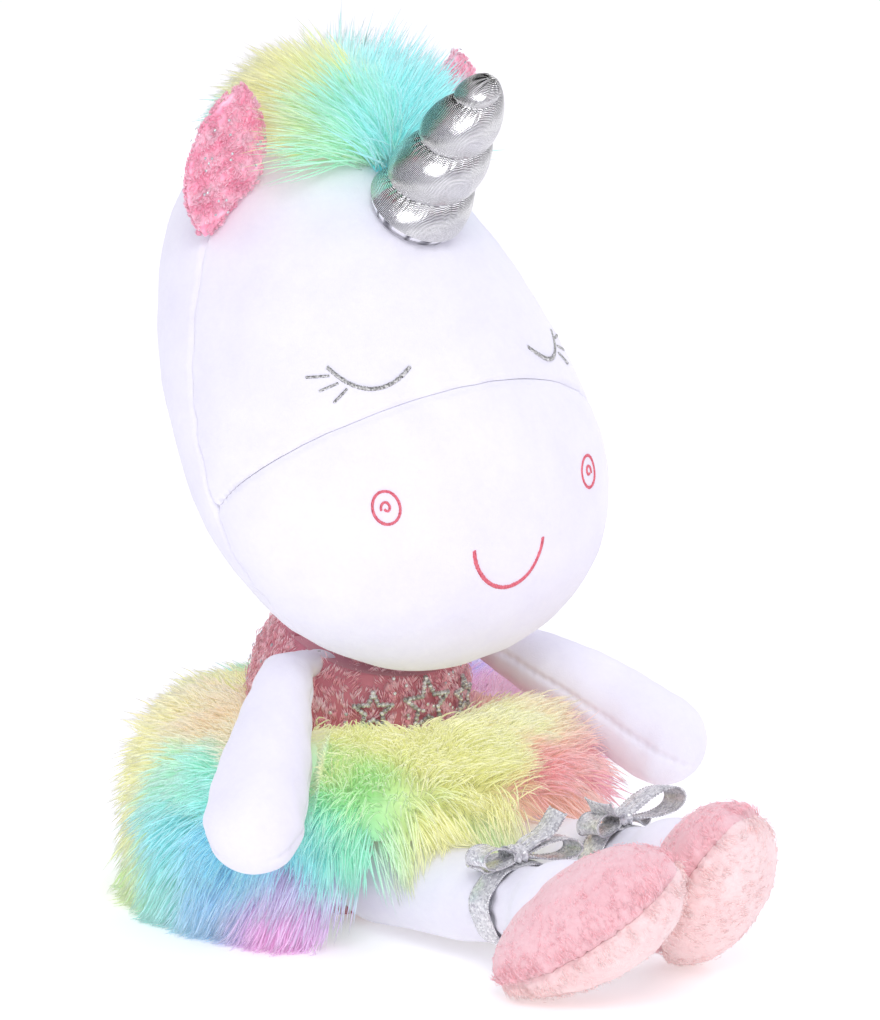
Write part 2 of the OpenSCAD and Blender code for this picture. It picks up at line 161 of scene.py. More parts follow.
def shell(outer, inner, wrap=False):
    # a closed sheet: the outer grid, the inner grid and a rim along each open edge
    rows, cols = outer.shape[:2]
    n = rows * cols
    faces = [gridFaces(rows, cols, wrap), gridFaces(rows, cols, wrap, n)[:, ::-1]]
    index = np.arange(n).reshape(rows, cols)
    edges = [index[0][::-1], index[-1]]
    if wrap:
        edges = [np.append(e, e[0]) for e in edges]
    else:
        edges += [index[:, 0], index[:, -1][::-1]]
    for e in edges:
        faces.append(np.stack([e[:-1], e[1:], e[1:] + n, e[:-1] + n], -1))
    return np.concatenate([outer.reshape(-1, 3), inner.reshape(-1, 3)]), faces


def bag(grid):
    # a closed skin: rings of points with a pole at the middle of the first and last ring
    rows, cols = grid.shape[:2]
    n = rows * cols
    j, k = np.arange(cols), (np.arange(cols) + 1) % cols
    last = n - cols
    faces = [gridFaces(rows, cols, True),
             np.stack([np.full(cols, n), k, j], -1),
             np.stack([np.full(cols, n + 1), last + j, last + k], -1)]
    poles = np.array([grid[0].mean(0), grid[-1].mean(0)])
    return np.concatenate([grid.reshape(-1, 3), poles]), faces


def join(parts):
    # several (points, faces) as one
    points, faces, start = [], [], 0
    for p, f in parts:
        points.append(p.reshape(-1, 3))
        faces += [x + start for x in f]
        start += len(points[-1])
    return np.concatenate(points), faces


def signedVolume(points, faces):
    # sum over the triangles of a . (b x c) / 6, positive where faces point outwards
    total = 0.0
    for f in faces:
        for k in range(1, f.shape[1] - 1):
            a, b, c = points[f[:, 0]], points[f[:, k]], points[f[:, k + 1]]
            total += np.einsum("ij,ij->i", a, np.cross(b, c)).sum() / 6
    return total


def makePiece(name, shape, material, body, stands=(), dyes=None, uv=None, uvName="weave"):
    # writes a closed shape, given in millimetres, into a new object and rides it on its body when the body
    # is given by name, else leaves it where it stands; faces that give a negative volume are turned round
    # first
    points, faces = shape
    points = np.asarray(points, float)
    if signedVolume(points - points.mean(0), faces) < 0:
        faces = [f[:, ::-1] for f in faces]
    corners = np.concatenate([f.ravel() for f in faces]).astype(np.int32)
    counts = np.concatenate([np.full(len(f), f.shape[1]) for f in faces])
    starts = np.concatenate([[0], np.cumsum(counts)[:-1]]).astype(np.int32)
    mesh = bpy.data.meshes.new(name)
    mesh.vertices.add(len(points))
    mesh.vertices.foreach_set("co", (points * 0.001).ravel())
    mesh.loops.add(len(corners))
    mesh.loops.foreach_set("vertex_index", corners)
    mesh.polygons.add(len(counts))
    mesh.polygons.foreach_set("loop_start", starts)
    mesh.polygons.foreach_set("use_smooth", np.ones(len(counts), bool))
    if dyes is not None:
        layer = mesh.attributes.new("dye", "FLOAT_COLOR", "POINT")
        layer.data.foreach_set("color", np.asarray(dyes, np.float32).ravel())
    if uv is not None:
        layer = mesh.uv_layers.new(name=uvName)
        layer.data.foreach_set("uv", np.asarray(uv, np.float32)[corners].ravel())
    mesh.update(calc_edges=True)
    mesh.materials.append(material)
    piece = bpy.data.objects.new(name, mesh)
    scene.collection.objects.link(piece)
    if isinstance(body, str):
        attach(piece, body)
    else:
        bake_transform(piece)
    if stands:
        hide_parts(*stands)
    return piece


def tubes(paths, radii, sides=3):
    # many thin closed threads at once: a point at each end and a ring of points at each stop between
    m, k = paths.shape[:2]
    along = unit(np.gradient(paths, axis=1))
    hint = unit(np.random.default_rng(11).normal(size=(m, 1, 3)))
    side = unit(np.cross(along, hint + 0 * along))
    up = np.cross(side, along)
    a = np.arange(sides) * 2 * np.pi / sides
    radii = np.broadcast_to(radii, (m, k))[:, 1:-1, None, None]
    rings = paths[:, 1:-1, None] + radii * (
        np.cos(a)[:, None] * side[:, 1:-1, None] + np.sin(a)[:, None] * up[:, 1:-1, None])
    inner = (k - 2) * sides
    points = np.concatenate([rings.reshape(m, inner, 3), paths[:, :1], paths[:, -1:]], 1)
    j, n = np.arange(sides), (np.arange(sides) + 1) % sides
    quads = gridFaces(k - 2, sides, True)
    ends = np.concatenate([
        np.stack([np.full(sides, inner), n, j], -1),
        np.stack([np.full(sides, inner + 1), inner - sides + j, inner - sides + n], -1)])
    steps = np.arange(m)[:, None, None] * (inner + 2)
    faces = [(ends + steps).reshape(-1, 3)]
    if len(quads):
        faces.append((quads + steps).reshape(-1, 4))
    return points.reshape(-1, 3), faces


def perPoint(values, sides=3):
    # values given for each stop of each thread, repeated for the points that tubes() makes
    inner = np.repeat(values[:, 1:-1], sides, axis=1)
    return np.concatenate([inner, values[:, :1], values[:, -1:]], 1).reshape(-1, values.shape[-1])


def scatter(grid, count, random):
    # random spots on a grid surface, as many per square millimetre everywhere
    a, b = grid[1:, :-1] - grid[:-1, :-1], grid[:-1, 1:] - grid[:-1, :-1]
    normal = np.cross(b, a)
    area = np.linalg.norm(normal, axis=-1)
    share = np.cumsum(area.ravel()) / area.sum()
    cell = np.minimum(np.searchsorted(share, random.random(count)), share.size - 1)
    i, j = np.unravel_index(cell, area.shape)
    u, v = random.random((2, count, 1))
    spots = (grid[i, j] * (1 - u) * (1 - v) + grid[i + 1, j] * u * (1 - v)
             + grid[i, j + 1] * (1 - u) * v + grid[i + 1, j + 1] * u * v)
    return spots, unit(normal[i, j]), unit(a[i, j]), unit(b[i, j]), i + u[:, 0]


def beads(centres, radius, flat=None):
    # small round beads: rings of six points with a pole at each end, flattened along flat
    a = np.arange(6) * np.pi / 3
    rings = np.concatenate([
        np.stack([np.sin(p) * np.cos(a), np.sin(p) * np.sin(a), np.full(6, np.cos(p))], -1)
        for p in (0.8, 1.57, 2.34)])
    ball = np.concatenate([rings, [[0, 0, 1], [0, 0, -1]]])
    ball = np.broadcast_to(ball, (len(centres), 20, 3)) * radius
    if flat is not None:
        axis, share = flat
        axis = axis[:, None]
        ball = ball - axis * np.einsum("nij,nkj->nik", ball, axis) * (1 - share)
    j, k = np.arange(6), (np.arange(6) + 1) % 6
    quads = gridFaces(3, 6, True)
    ends = np.concatenate([np.stack([np.full(6, 18), k, j], -1),
                           np.stack([np.full(6, 19), 12 + j, 12 + k], -1)])
    steps = np.arange(len(centres))[:, None, None] * 20
    faces = [(quads + steps).reshape(-1, 4), (ends + steps).reshape(-1, 3)]
    return (centres[:, None] + ball).reshape(-1, 3), faces


def ripple(points, amount, size, seed):
    # soft lumps: the mean of three crossed sine waves of about this size, from -amount to amount
    random = np.random.default_rng(seed)
    total = 0
    for wave in range(3):
        way = unit(random.normal(size=3)) * 2 * np.pi / (size * (0.8 + 0.3 * wave))
        start = random.random() * 6.28
        total = total + np.sin(points @ way + start)
    return amount * total / 3


# Fabrics and finishes
def plush(name, colour, shade, sheen, fuzz=0.25, nap=0.3):
    # velboa: cut short pile, so it is matt with a soft bright edge and fine nap marks.
    # The pile is about 0.1 mm a tuft and is drawn at 0.5 mm so that it shows.
    material, tree = newMaterial(name)
    place = addNode(tree, "ShaderNodeTexCoord")
    grain = addNode(tree, "ShaderNodeTexNoise", {"Scale": 420.0, "Detail": 4.0, "Roughness": 0.65},
                    {"Vector": place.outputs["Object"]})
    pile = addNode(tree, "ShaderNodeTexNoise", {"Scale": 2000.0, "Detail": 2.0},
                   {"Vector": place.outputs["Object"]})
    soft = addNode(tree, "ShaderNodeTexNoise", {"Scale": 60.0, "Detail": 2.0},
                   {"Vector": place.outputs["Object"]})
    mark = addNode(tree, "ShaderNodeMath", {"operation": "MULTIPLY_ADD", 1: nap, 2: 0.5 - nap / 2},
                   {0: grain.outputs[0]})
    both = addNode(tree, "ShaderNodeMath", {"operation": "MULTIPLY_ADD", 1: 0.5},
                   {0: soft.outputs[0], 2: mark.outputs[0]})
    edge = addNode(tree, "ShaderNodeMapRange", {"From Min": 0.55, "From Max": 1.0},
                   {"Value": both.outputs[0]})
    tint = addNode(tree, "ShaderNodeMix", {"data_type": "RGBA", 6: linear(colour), 7: linear(shade)},
                   {0: edge.outputs[0]})
    height = addNode(tree, "ShaderNodeMath", {"operation": "MULTIPLY_ADD", 1: 0.5},
                     {0: pile.outputs[0], 2: grain.outputs[0]})
    bump = addNode(tree, "ShaderNodeBump", {"Strength": fuzz, "Distance": 0.0006},
                   {"Height": height.outputs[0]})
    finishMaterial(tree, {"Roughness": 0.92, "Sheen Weight": sheen, "Sheen Roughness": 0.45,
                          "Specular IOR Level": 0.2, "IOR": 1.46},
                   {"Base Color": tint.outputs[2], "Normal": bump.outputs[0]})
    return material


def fibre(name, roughness, shine, lift):
    # acrylic or polyester pile: each fibre is dyed through, smooth and a little shiny. It also glows a
    # little in its own colour, a painted glow that lifts shaded pile in place of the light that real fibres
    # let through.
    # The dye varies over locks of about 4 mm.
    material, tree = newMaterial(name)
    dye = addNode(tree, "ShaderNodeAttribute", {"attribute_name": "dye"})
    place = addNode(tree, "ShaderNodeTexCoord")
    lock = addNode(tree, "ShaderNodeTexNoise", {"Scale": 260.0, "Detail": 2.0},
                   {"Vector": place.outputs["Object"]})
    light = addNode(tree, "ShaderNodeMapRange",
                    {"From Min": 0.3, "From Max": 0.7, "To Min": 1 - lift, "To Max": 1 + lift},
                    {"Value": lock.outputs[0]})
    tint = addNode(tree, "ShaderNodeVectorMath", {"operation": "SCALE"},
                   {0: dye.outputs["Color"], "Scale": light.outputs[0]})
    # the emission is a painted glow in the dye's colour; the pile is no lamp
    finishMaterial(tree, {"Roughness": roughness, "Sheen Weight": 0.6, "Sheen Roughness": 0.5,
                          "Emission Strength": 0.19, "Specular IOR Level": shine, "IOR": 1.5},
                   {"Base Color": tint.outputs[0], "Emission Color": tint.outputs[0]})
    return material


def lameCloth(name, ribs):
    # lame: metal-coated flat thread woven over a dark ground, so fine ribs of mirror and shadow.
    # The wave has 3.2 ribs for each unit of its scale, so they are drawn about 0.45 mm apart.
    material, tree = newMaterial(name)
    uv = addNode(tree, "ShaderNodeUVMap", {"uv_map": "weave"})
    sway = addNode(tree, "ShaderNodeTexNoise", {"Scale": 9.0, "Detail": 1.0}, {"Vector": uv.outputs[0]})
    bent = addNode(tree, "ShaderNodeVectorMath", {"operation": "MULTIPLY_ADD", 1: (0.0, 0.018, 0.0)},
                   {0: sway.outputs["Color"], 2: uv.outputs[0]})
    weave = addNode(tree, "ShaderNodeTexWave",
                    {"bands_direction": "Y", "Scale": ribs, "Distortion": 0.6, "Detail": 1.0,
                     "Detail Scale": 6.0}, {"Vector": bent.outputs[0]})
    place = addNode(tree, "ShaderNodeTexCoord")
    crush = addNode(tree, "ShaderNodeTexNoise", {"Scale": 330.0, "Detail": 3.0},
                    {"Vector": place.outputs["Object"]})
    gap = addNode(tree, "ShaderNodeMapRange", {"From Min": 0.02, "From Max": 0.45},
                  {"Value": weave.outputs["Fac"]})
    tint = addNode(tree, "ShaderNodeMix", {"data_type": "RGBA", 6: linear("66666C"), 7: linear("FFFFFF")},
                   {0: gap.outputs[0]})
    rough = addNode(tree, "ShaderNodeMapRange", {"To Min": 0.08, "To Max": 0.24},
                    {"Value": crush.outputs[0]})
    height = addNode(tree, "ShaderNodeMath", {"operation": "MULTIPLY_ADD", 1: 0.6},
                     {0: crush.outputs[0], 2: weave.outputs["Fac"]})
    bump = addNode(tree, "ShaderNodeBump", {"Strength": 0.45, "Distance": 0.0004},
                   {"Height": height.outputs[0]})
    finishMaterial(tree, {"Metallic": 1.0},
                   {"Base Color": tint.outputs[2], "Roughness": rough.outputs[0],
                    "Normal": bump.outputs[0]})
    return material


def thread(name, colour, shade, metallic, roughness):
    # embroidery thread: twisted strands, so about every 0.7 mm a raised twist in the thread's colour and,
    # in the groove between twists, painted shade in the darker shade colour
    material, tree = newMaterial(name)
    place = addNode(tree, "ShaderNodeTexCoord")
    twist = addNode(tree, "ShaderNodeTexNoise", {"Scale": 1500.0, "Detail": 2.0},
                    {"Vector": place.outputs["Object"]})
    edge = addNode(tree, "ShaderNodeMapRange", {"From Min": 0.35, "From Max": 0.65},
                   {"Value": twist.outputs[0]})
    # painted shade: the low, sunken part of each twist takes the shade colour
    tint = addNode(tree, "ShaderNodeMix", {"data_type": "RGBA", 6: linear(shade), 7: linear(colour)},
                   {0: edge.outputs[0]})
    bump = addNode(tree, "ShaderNodeBump", {"Strength": 0.4, "Distance": 0.0003},
                   {"Height": twist.outputs[0]})
    finishMaterial(tree, {"Metallic": metallic, "Roughness": roughness},
                   {"Base Color": tint.outputs[2], "Normal": bump.outputs[0]})
    return material


def glitter(name, colour, shade, grain, metallic=0.9):
    # metallic tinsel or foil: it sparkles in flat grains, 0.7 mm on the ribbon at a grain of 1400. Each
    # grain is tilted by the bump and its colour is painted at random between shade and colour, so the
    # sparkle is partly real reflection and partly painted glints
    material, tree = newMaterial(name)
    place = addNode(tree, "ShaderNodeTexCoord")
    cells = addNode(tree, "ShaderNodeTexVoronoi", {"Scale": grain}, {"Vector": place.outputs["Object"]})
    glint = addNode(tree, "ShaderNodeSeparateColor", links={0: cells.outputs["Color"]})
    # painted glints: each grain is set lighter or darker at random
    tint = addNode(tree, "ShaderNodeMix", {"data_type": "RGBA", 6: linear(shade), 7: linear(colour)},
                   {0: glint.outputs[0]})
    rough = addNode(tree, "ShaderNodeMapRange", {"To Min": 0.18, "To Max": 0.5},
                    {"Value": glint.outputs[1]})
    bump = addNode(tree, "ShaderNodeBump", {"Strength": 0.7, "Distance": 0.0005},
                   {"Height": glint.outputs[2]})
    finishMaterial(tree, {"Metallic": metallic},
                   {"Base Color": tint.outputs[2], "Roughness": rough.outputs[0],
                    "Normal": bump.outputs[0]})
    return material


whitePlush = plush("white velboa plush", "F7F6FC", "EDEBF7", 0.35)
pinkPlush = plush("pink velboa plush", "FBD2D5", "F2BBC0", 0.5, 0.7, 0.8)
solePlush = plush("pale pink velboa plush", "FEE6E3", "F8D2D1", 0.5, 0.7, 0.8)
roseBacking = plush("rose minky backing", "DC8F9A", "CC7A88", 0.3)
furFibre = fibre("dyed long pile with painted glow", 0.7, 0.25, 0.04)
minkyFibre = fibre("combed minky pile with painted glow", 0.6, 0.35, 0.1)
hornCloth = lameCloth("silver lame", 42.0)
silverThread = thread("silver metallic thread", "F0F0EE", "8E8E8C", 0.5, 0.35)
coralThread = thread("coral embroidery thread", "F4818F", "DD5F72", 0.0, 0.5)
ribbonCloth = glitter("silver glitter ribbon", "FFFFFF", "BDBDC2", 1400.0, 0.2)
beadGlass = glitter("silver lined bead", "F8F8F8", "A2A2A0", 700.0, 0.6)
sequinFoil = glitter("silver sequin foil", "FFFFFF", "B4B4BA", 500.0, 0.5)
elasticCloth = thread("woven elastic", "F1E4C8", "DCCBA8", 0.0, 0.8)
print("materials made")


def seamDip(distance, along, depth=1.2, width=1.2):
    # how far cloth dips beside a seam: a narrow pucker and a broad soft shoulder,
    # both of them gathered by waves along the seam
    narrow = depth * np.exp(-(distance / width) ** 2) * (1 + 0.35 * np.sin(along * 2 * np.pi / 3.3))
    wave = np.sin(along * 2 * np.pi / 14 + 1.7 * np.sin(along / 11))
    return narrow + 0.55 * np.exp(-(distance / 7) ** 2) * (1 + 0.55 * wave)


# The head: a stack of ellipses. Level 0 is the chin and 180 the crown, turn 0 the front.
head = {
    "height": 170.0, "middle": 166.5, "y": -7.5,
    "halfWidth": 68.0, "halfDepth": 63.0,
    "spread": 15.0,  # muzzle wider and crown narrower by this
    "reach": 29.0,  # muzzle forward and crown back by this
    "brow": 8.0,
    "sideSeam": 95.0, "seamZ": 178.0, "seamDrop": 37.0,
    "rows": 90, "cols": 130, "lumps": 0.7, "wall": 2.6,
}


def headPoint(turn, level, inset=0.0):
    # swell = sin(90 cos level); half axes (width + spread swell) sin level and
    # (depth - brow swell) sin level; the middle moves forward by reach swell
    p, t = level * degree, turn * degree
    swell = np.sin(np.pi / 2 * np.cos(p))
    a = (head["halfWidth"] + head["spread"] * swell - inset) * np.sin(p)
    b = (head["halfDepth"] - head["brow"] * swell - inset) * np.sin(p)
    c = head["y"] - head["reach"] * swell
    z = head["middle"] - (head["height"] / 2 - inset) * np.cos(p)
    return np.stack(np.broadcast_arrays(a * np.sin(t), c - b * np.cos(t), z), -1)


def headLevel(z):
    # the level whose cosine is (middle - z) / half the height
    return np.arccos((head["middle"] - z) / (head["height"] / 2)) / degree


def faceSeam(turn):
    # the seam across the face drops towards the sides as 1 - cos turn
    return headLevel(head["seamZ"] - head["seamDrop"] * (1 - np.cos(turn * degree)))


def headLumps(plain):
    # how far the stuffed head lies inside its plain shape
    return ripple(plain, head["lumps"], 42, 3) + ripple(plain, 0.25, 13, 4)


def headPanel(turns, low, high, seamLow, seamHigh):
    # a panel between two side seams; low and high are its end levels at each turn.
    # It dips by seamDip of the distance in mm from each seam it ends at.
    rows = crowd(head["rows"])[:, None]
    level = low + (high - low) * rows
    turn = np.broadcast_to(turns, level.shape)
    plain = headPoint(turn, level)
    girth = np.hypot(plain[..., 0], plain[..., 1] - head["y"])
    sideways = np.minimum(turn - turns[0], turns[-1] - turn) * degree * girth
    rise = head["height"] / 2 * degree
    inset = seamDip(sideways, level * rise)
    if seamLow:
        inset = inset + seamDip((level - low) * rise, turn * degree * girth)
    if seamHigh:
        inset = inset + seamDip((high - level) * rise, turn * degree * girth)
    inset = inset + headLumps(plain)
    return shell(headPoint(turn, level, inset), headPoint(turn, level, inset + head["wall"]))


def makeHead():
    # the front is cut across at the face seam, and the back is one panel from chin to crown
    front = head["sideSeam"] * (2 * crowd(head["cols"]) - 1)
    back = head["sideSeam"] + (360 - 2 * head["sideSeam"]) * crowd(head["cols"])
    chin, crown, seam = 1.2 + 0 * front, 178.8 + 0 * front, faceSeam(front)
    pieces = [
        makePiece("forehead_plush", headPanel(front, seam + 0.05, crown, True, False),
                  whitePlush, "head", ["forehead_cover", "head_stuffing"]),
        makePiece("muzzle_plush", headPanel(front, chin, seam - 0.05, False, True),
                  whitePlush, "head", ["muzzle_cover"]),
        makePiece("head_back_plush", headPanel(back, chin, crown, False, False),
                  whitePlush, "head", ["head_back_cover"])]


makeHead()
print("head sewn")


# Embroidery: each line is many short satin stitches laid across it
face = {
    "eyeTurn": 34.5, "eyeHalf": 12.0, "eyeZ": 179.0, "eyeSag": 6.0, "lash": 7.0,
    "nostrilTurn": 34.5, "nostrilZ": 144.0, "nostrilWide": 3.7, "nostrilHigh": 5.0,
    "mouthHalf": 11.5, "mouthZ": 114.5, "mouthRise": 14.0,
    "curlWide": 1.5, "curlHigh": 2.1,
    "eyeLine": 1.7, "lashLine": 1.0, "ringLine": 1.0, "curlLine": 0.8, "mouthLine": 1.7,
    "slant": 0.35, "stitchR": 0.34, "fray": 0.12,
}


def facePoint(turn, z, lift=0.0):
    # the point of the lumpy head at this turn and height, raised by lift
    level = headLevel(z)
    return headPoint(turn, level, headLumps(headPoint(turn, level)) - lift)


def satin(turn, z, width, step=0.42):
    # stitches across a line on the face, one each step: an arch of height sqrt(1 - f^2) from one
    # side of the line to the other
    line = facePoint(turn, z)
    reach = np.concatenate([[0], np.cumsum(np.linalg.norm(np.diff(line, axis=0), axis=1))])
    stops = np.arange(step / 2, reach[-1], step)
    t, h = np.interp(stops, reach, turn), np.interp(stops, reach, z)
    middle = facePoint(t, h)
    along = unit(np.gradient(middle, axis=0))
    out = unit(facePoint(t, h, 1.0) - middle)
    across = unit(np.cross(along, out) + face["slant"] * along)
    random = np.random.default_rng(5)
    half = width / 2 * (1 + face["fray"] * random.normal(size=(len(t), 1)))
    f = np.linspace(-1, 1, 5)[None, :, None]
    arch = np.sqrt(np.maximum(1 - f * f, 0))
    paths = middle[:, None] + across[:, None] * half[:, None] * f + out[:, None] * (0.55 * arch - 0.45)
    return tubes(paths, face["stitchR"] * np.array([0, 1, 1.1, 1, 0]), 5)


def makeFace():
    # eye: a parabola with three lashes at its outer end; nostril: an ellipse round a shrinking curl;
    # mouth: half an ellipse
    arc = np.linspace(-1, 1, 40)
    for side, word in sides:
        parts = [satin(side * (face["eyeTurn"] + face["eyeHalf"] * arc),
                       face["eyeZ"] + face["eyeSag"] * arc ** 2, face["eyeLine"])]
        for k in range(3):
            root, f = 0.93 - 0.2 * k, np.linspace(0, 1, 8)
            turn = face["eyeTurn"] + face["eyeHalf"] * root + 0.4 + f * (face["lash"] - 1.4 * k)
            z = face["eyeZ"] + face["eyeSag"] * root ** 2 - 1.6 - f * (0.8 + 1.7 * k)
            parts.append(satin(side * turn, z, face["lashLine"], 0.5))
        makePiece(word + "_eye_embroidery", join(parts), silverThread, "head",
                  [word + "_eye_stitches"])
        ring = np.linspace(0, 360, 60) * degree
        curl = np.linspace(-20, 330, 40) * degree
        shrink = np.linspace(1, 0.35, 40)
        parts = [satin(side * (face["nostrilTurn"] + face["nostrilWide"] * np.cos(ring)),
                       face["nostrilZ"] + face["nostrilHigh"] * np.sin(ring), face["ringLine"]),
                 satin(side * (face["nostrilTurn"] + face["curlWide"] * shrink * np.cos(curl)),
                       face["nostrilZ"] + face["curlHigh"] * shrink * np.sin(curl), face["curlLine"])]
        makePiece(word + "_nostril_embroidery", join(parts), coralThread, "head",
                  [word + "_nostril_stitches"])
    bend = np.linspace(-1, 1, 50) * np.pi / 2
    mouth = satin(face["mouthHalf"] * np.sin(bend),
                  face["mouthZ"] + face["mouthRise"] * (1 - np.cos(bend)), face["mouthLine"])
    makePiece("mouth_embroidery", mouth, coralThread, "head", ["mouth_stitches"])


makeFace()
print("face embroidered")


# The horn: a blunt cone that swells between the turns of a right-handed groove
horn = {
    "root": (0.0, -31.0, 230.0), "lean": 39.5, "length": 60.0, "base": 32.0, "turns": 3.0,
    "taper": 0.44, "groove": 0.79, "swell": 0.25, "pleat": 0.055, "crush": 0.016,
    "rows": 220, "cols": 130,
}


def makeHorn():
    # radius = base/2 (1 - taper f) sqrt(1 - f^5) (groove + swell sqrt |sin 180 (turns f + 0.1 - t/360)|),
    # less small pleats and creases close to the groove and at the tip
    f = np.linspace(0, 1, horn["rows"])[:, None]
    t = np.arange(horn["cols"])[None, :] * 2 * np.pi / horn["cols"]
    phase = horn["turns"] * f + 0.1 - t / (2 * np.pi)
    groove = np.abs(np.sin(np.pi * phase))
    below = smooth(0.0, 0.5, 1 - (phase % 1))
    gather = np.exp(-(groove / 0.45) ** 2) * (0.35 + 0.65 * (1 - below))
    pleats = np.sin(19 * t + 2.2 * np.sin(3 * t + 5 * f) + 8 * f) ** 2
    crush = np.sin(31 * t - 17 * f + 3 * np.sin(7 * t))
    tip = np.exp(-((1 - f) / 0.06) ** 2)
    swell = (horn["groove"] + horn["swell"] * np.sqrt(groove)
             - horn["pleat"] * gather * pleats - horn["crush"] * gather * crush)
    r = horn["base"] / 2 * (1 - horn["taper"] * f) * np.sqrt(np.maximum(1.0 - f ** 5, 0.004)) * swell
    r = r * (1 - 0.14 * tip * np.sin(7 * t) ** 2)
    grid = np.stack([r * np.cos(t), r * np.sin(t), f * horn["length"] + 0 * t], -1)
    grid[..., 2] -= 2.0 * tip * (1 - r / r.max()) * 0.4
    grid = np.concatenate([grid[:1] * [0.9, 0.9, 1] - [0, 0, 3.5], grid])
    lean = horn["lean"] * degree
    spin = np.array([[1, 0, 0], [0, np.cos(lean), -np.sin(lean)], [0, np.sin(lean), np.cos(lean)]])
    placed = grid @ spin.T + horn["root"]
    points, faces = bag(placed)
    share = np.concatenate([[0], f[:, 0]])[:, None] + 0 * t
    u = np.stack([t / (2 * np.pi) + 0 * share, share - t / (2 * np.pi) * 0.12], -1).reshape(-1, 2)
    uv = np.concatenate([u, [[0.5, 0.0], [0.5, 1.0]]])
    piece = makePiece("horn_lame", (points, faces), hornCloth, "head", ["horn_cover", "horn_stuffing"],
                      uv=uv)


makeHorn()
print("horn sewn")


def axes(run, across=(0, 0, 1)):
    # side and up vectors square to a run
    along = unit(np.array(run, float))
    side = unit(np.cross(along, across))
    return along, side, np.cross(side, along)


def resample(stops, count, soft=2):
    # equal steps along a profile, its corners eased by averaging neighbours
    stops = np.array(stops, float)
    reach = np.concatenate([[0], np.cumsum(np.linalg.norm(np.diff(stops, axis=0), axis=1))])
    even = np.linspace(0, reach[-1], count)
    line = np.stack([np.interp(even, reach, stops[:, k]) for k in range(stops.shape[1])], -1)
    for turn in range(soft):
        line[1:-1] = (line[:-2] + 2 * line[1:-1] + line[2:]) / 4
    return line


# Arms: a small ball at the shoulder that widens to a round, slightly flattened hand
arms = {
    "shoulder": (39.0, -14.0, 82.0), "shoulderR": 7.5, "length": 66.0, "handR": 15.5,
    "rightRun": (-40.0, -35.5, -37.5), "leftRun": (38.0, -45.0, -33.0),
    "wide": 1.05, "thin": 0.93, "sag": 1.4, "clear": 17.3, "rows": 130, "cols": 96,
}


def makeArm(side, word, run):
    # profile: straight into the torso, then radius mix(shoulderR, handR, sin 90 f), then a round end;
    # the middle line bows up by sag sin 180 f
    f = np.linspace(0, 1, 20)
    end = np.linspace(0, 90, 16)[1:] * degree
    ball, hand, long = arms["shoulderR"], arms["handR"], arms["length"]
    stops = [(-21, 0.5), (-21, 0.7 * ball), (-6, 0.95 * ball)]
    stops += list(zip(f * long, mix(ball, hand, np.sin(np.pi / 2 * f))))
    stops += list(zip(long + hand * np.sin(end), hand * np.cos(end) + 0.02))
    line = resample(stops, arms["rows"], 3)
    s, r = line[:, :1], np.maximum(line[:, 1:], 0.15)
    around = np.arange(arms["cols"])[None, :] * 2 * np.pi / arms["cols"]
    along, across, up = axes(run)
    root = np.array(arms["shoulder"]) * (side, 1, 1)
    inward = unit(np.array([0.0, 2.0, 79.0]) - root)
    middle = root + np.maximum(s, 0) * along + np.maximum(-s, 0) * inward
    middle = middle + up * (arms["sag"] * np.sin(np.pi * np.clip(s / (long + hand), 0, 1)))
    edge = np.minimum(np.abs(np.sin(around)), 1) * r
    dip = seamDip(edge, s + 0 * around, 1.0, 1.1) * smooth(3, 11, r) * smooth(0, 12, s)
    x = (r * arms["wide"] - dip) * np.cos(around)
    y = (r * arms["thin"] - dip * 0.4) * np.sin(around)
    grid = middle[:, None] + x[..., None] * across + y[..., None] * up
    lump = ripple(grid, 0.5, 26, 8 + side) + ripple(grid, 0.2, 9, 18 + side)
    out = unit(grid - middle[:, None])
    grid = grid + out * (lump * np.minimum(r / 6, 1))[..., None]
    bend = ("torso", word + "_arm", root + inward * 4, root + along * 12)
    piece = makePiece(word + "_arm_plush", bag(grid), whitePlush, bend,
                      [word + "_arm_cover", word + "_arm_stuffing"])


for side, word in sides:
    makeArm(side, word, arms[word + "Run"])
print("arms sewn")


# Legs: a soft cone from hip to ankle that ends in a round instep inside the foot
legs = {
    "hip": (19.0, -38.0, 16.2), "thighR": 15.5, "instepR": 18.0, "ankleR": 11.6, "ankleBack": 26.0,
    "rightInstep": (-24.0, -136.0, 24.0), "leftInstep": (22.0, -134.0, 30.0),
    "clear": 15.4, "rows": 150, "cols": 96,
}


def legLine(side, word):
    # hip, middle of the instep, and the distance between them
    root = np.array(legs["hip"]) * (side, 1, 1)
    end = np.array(legs[word + "Instep"])
    return root, end, np.linalg.norm(end - root)


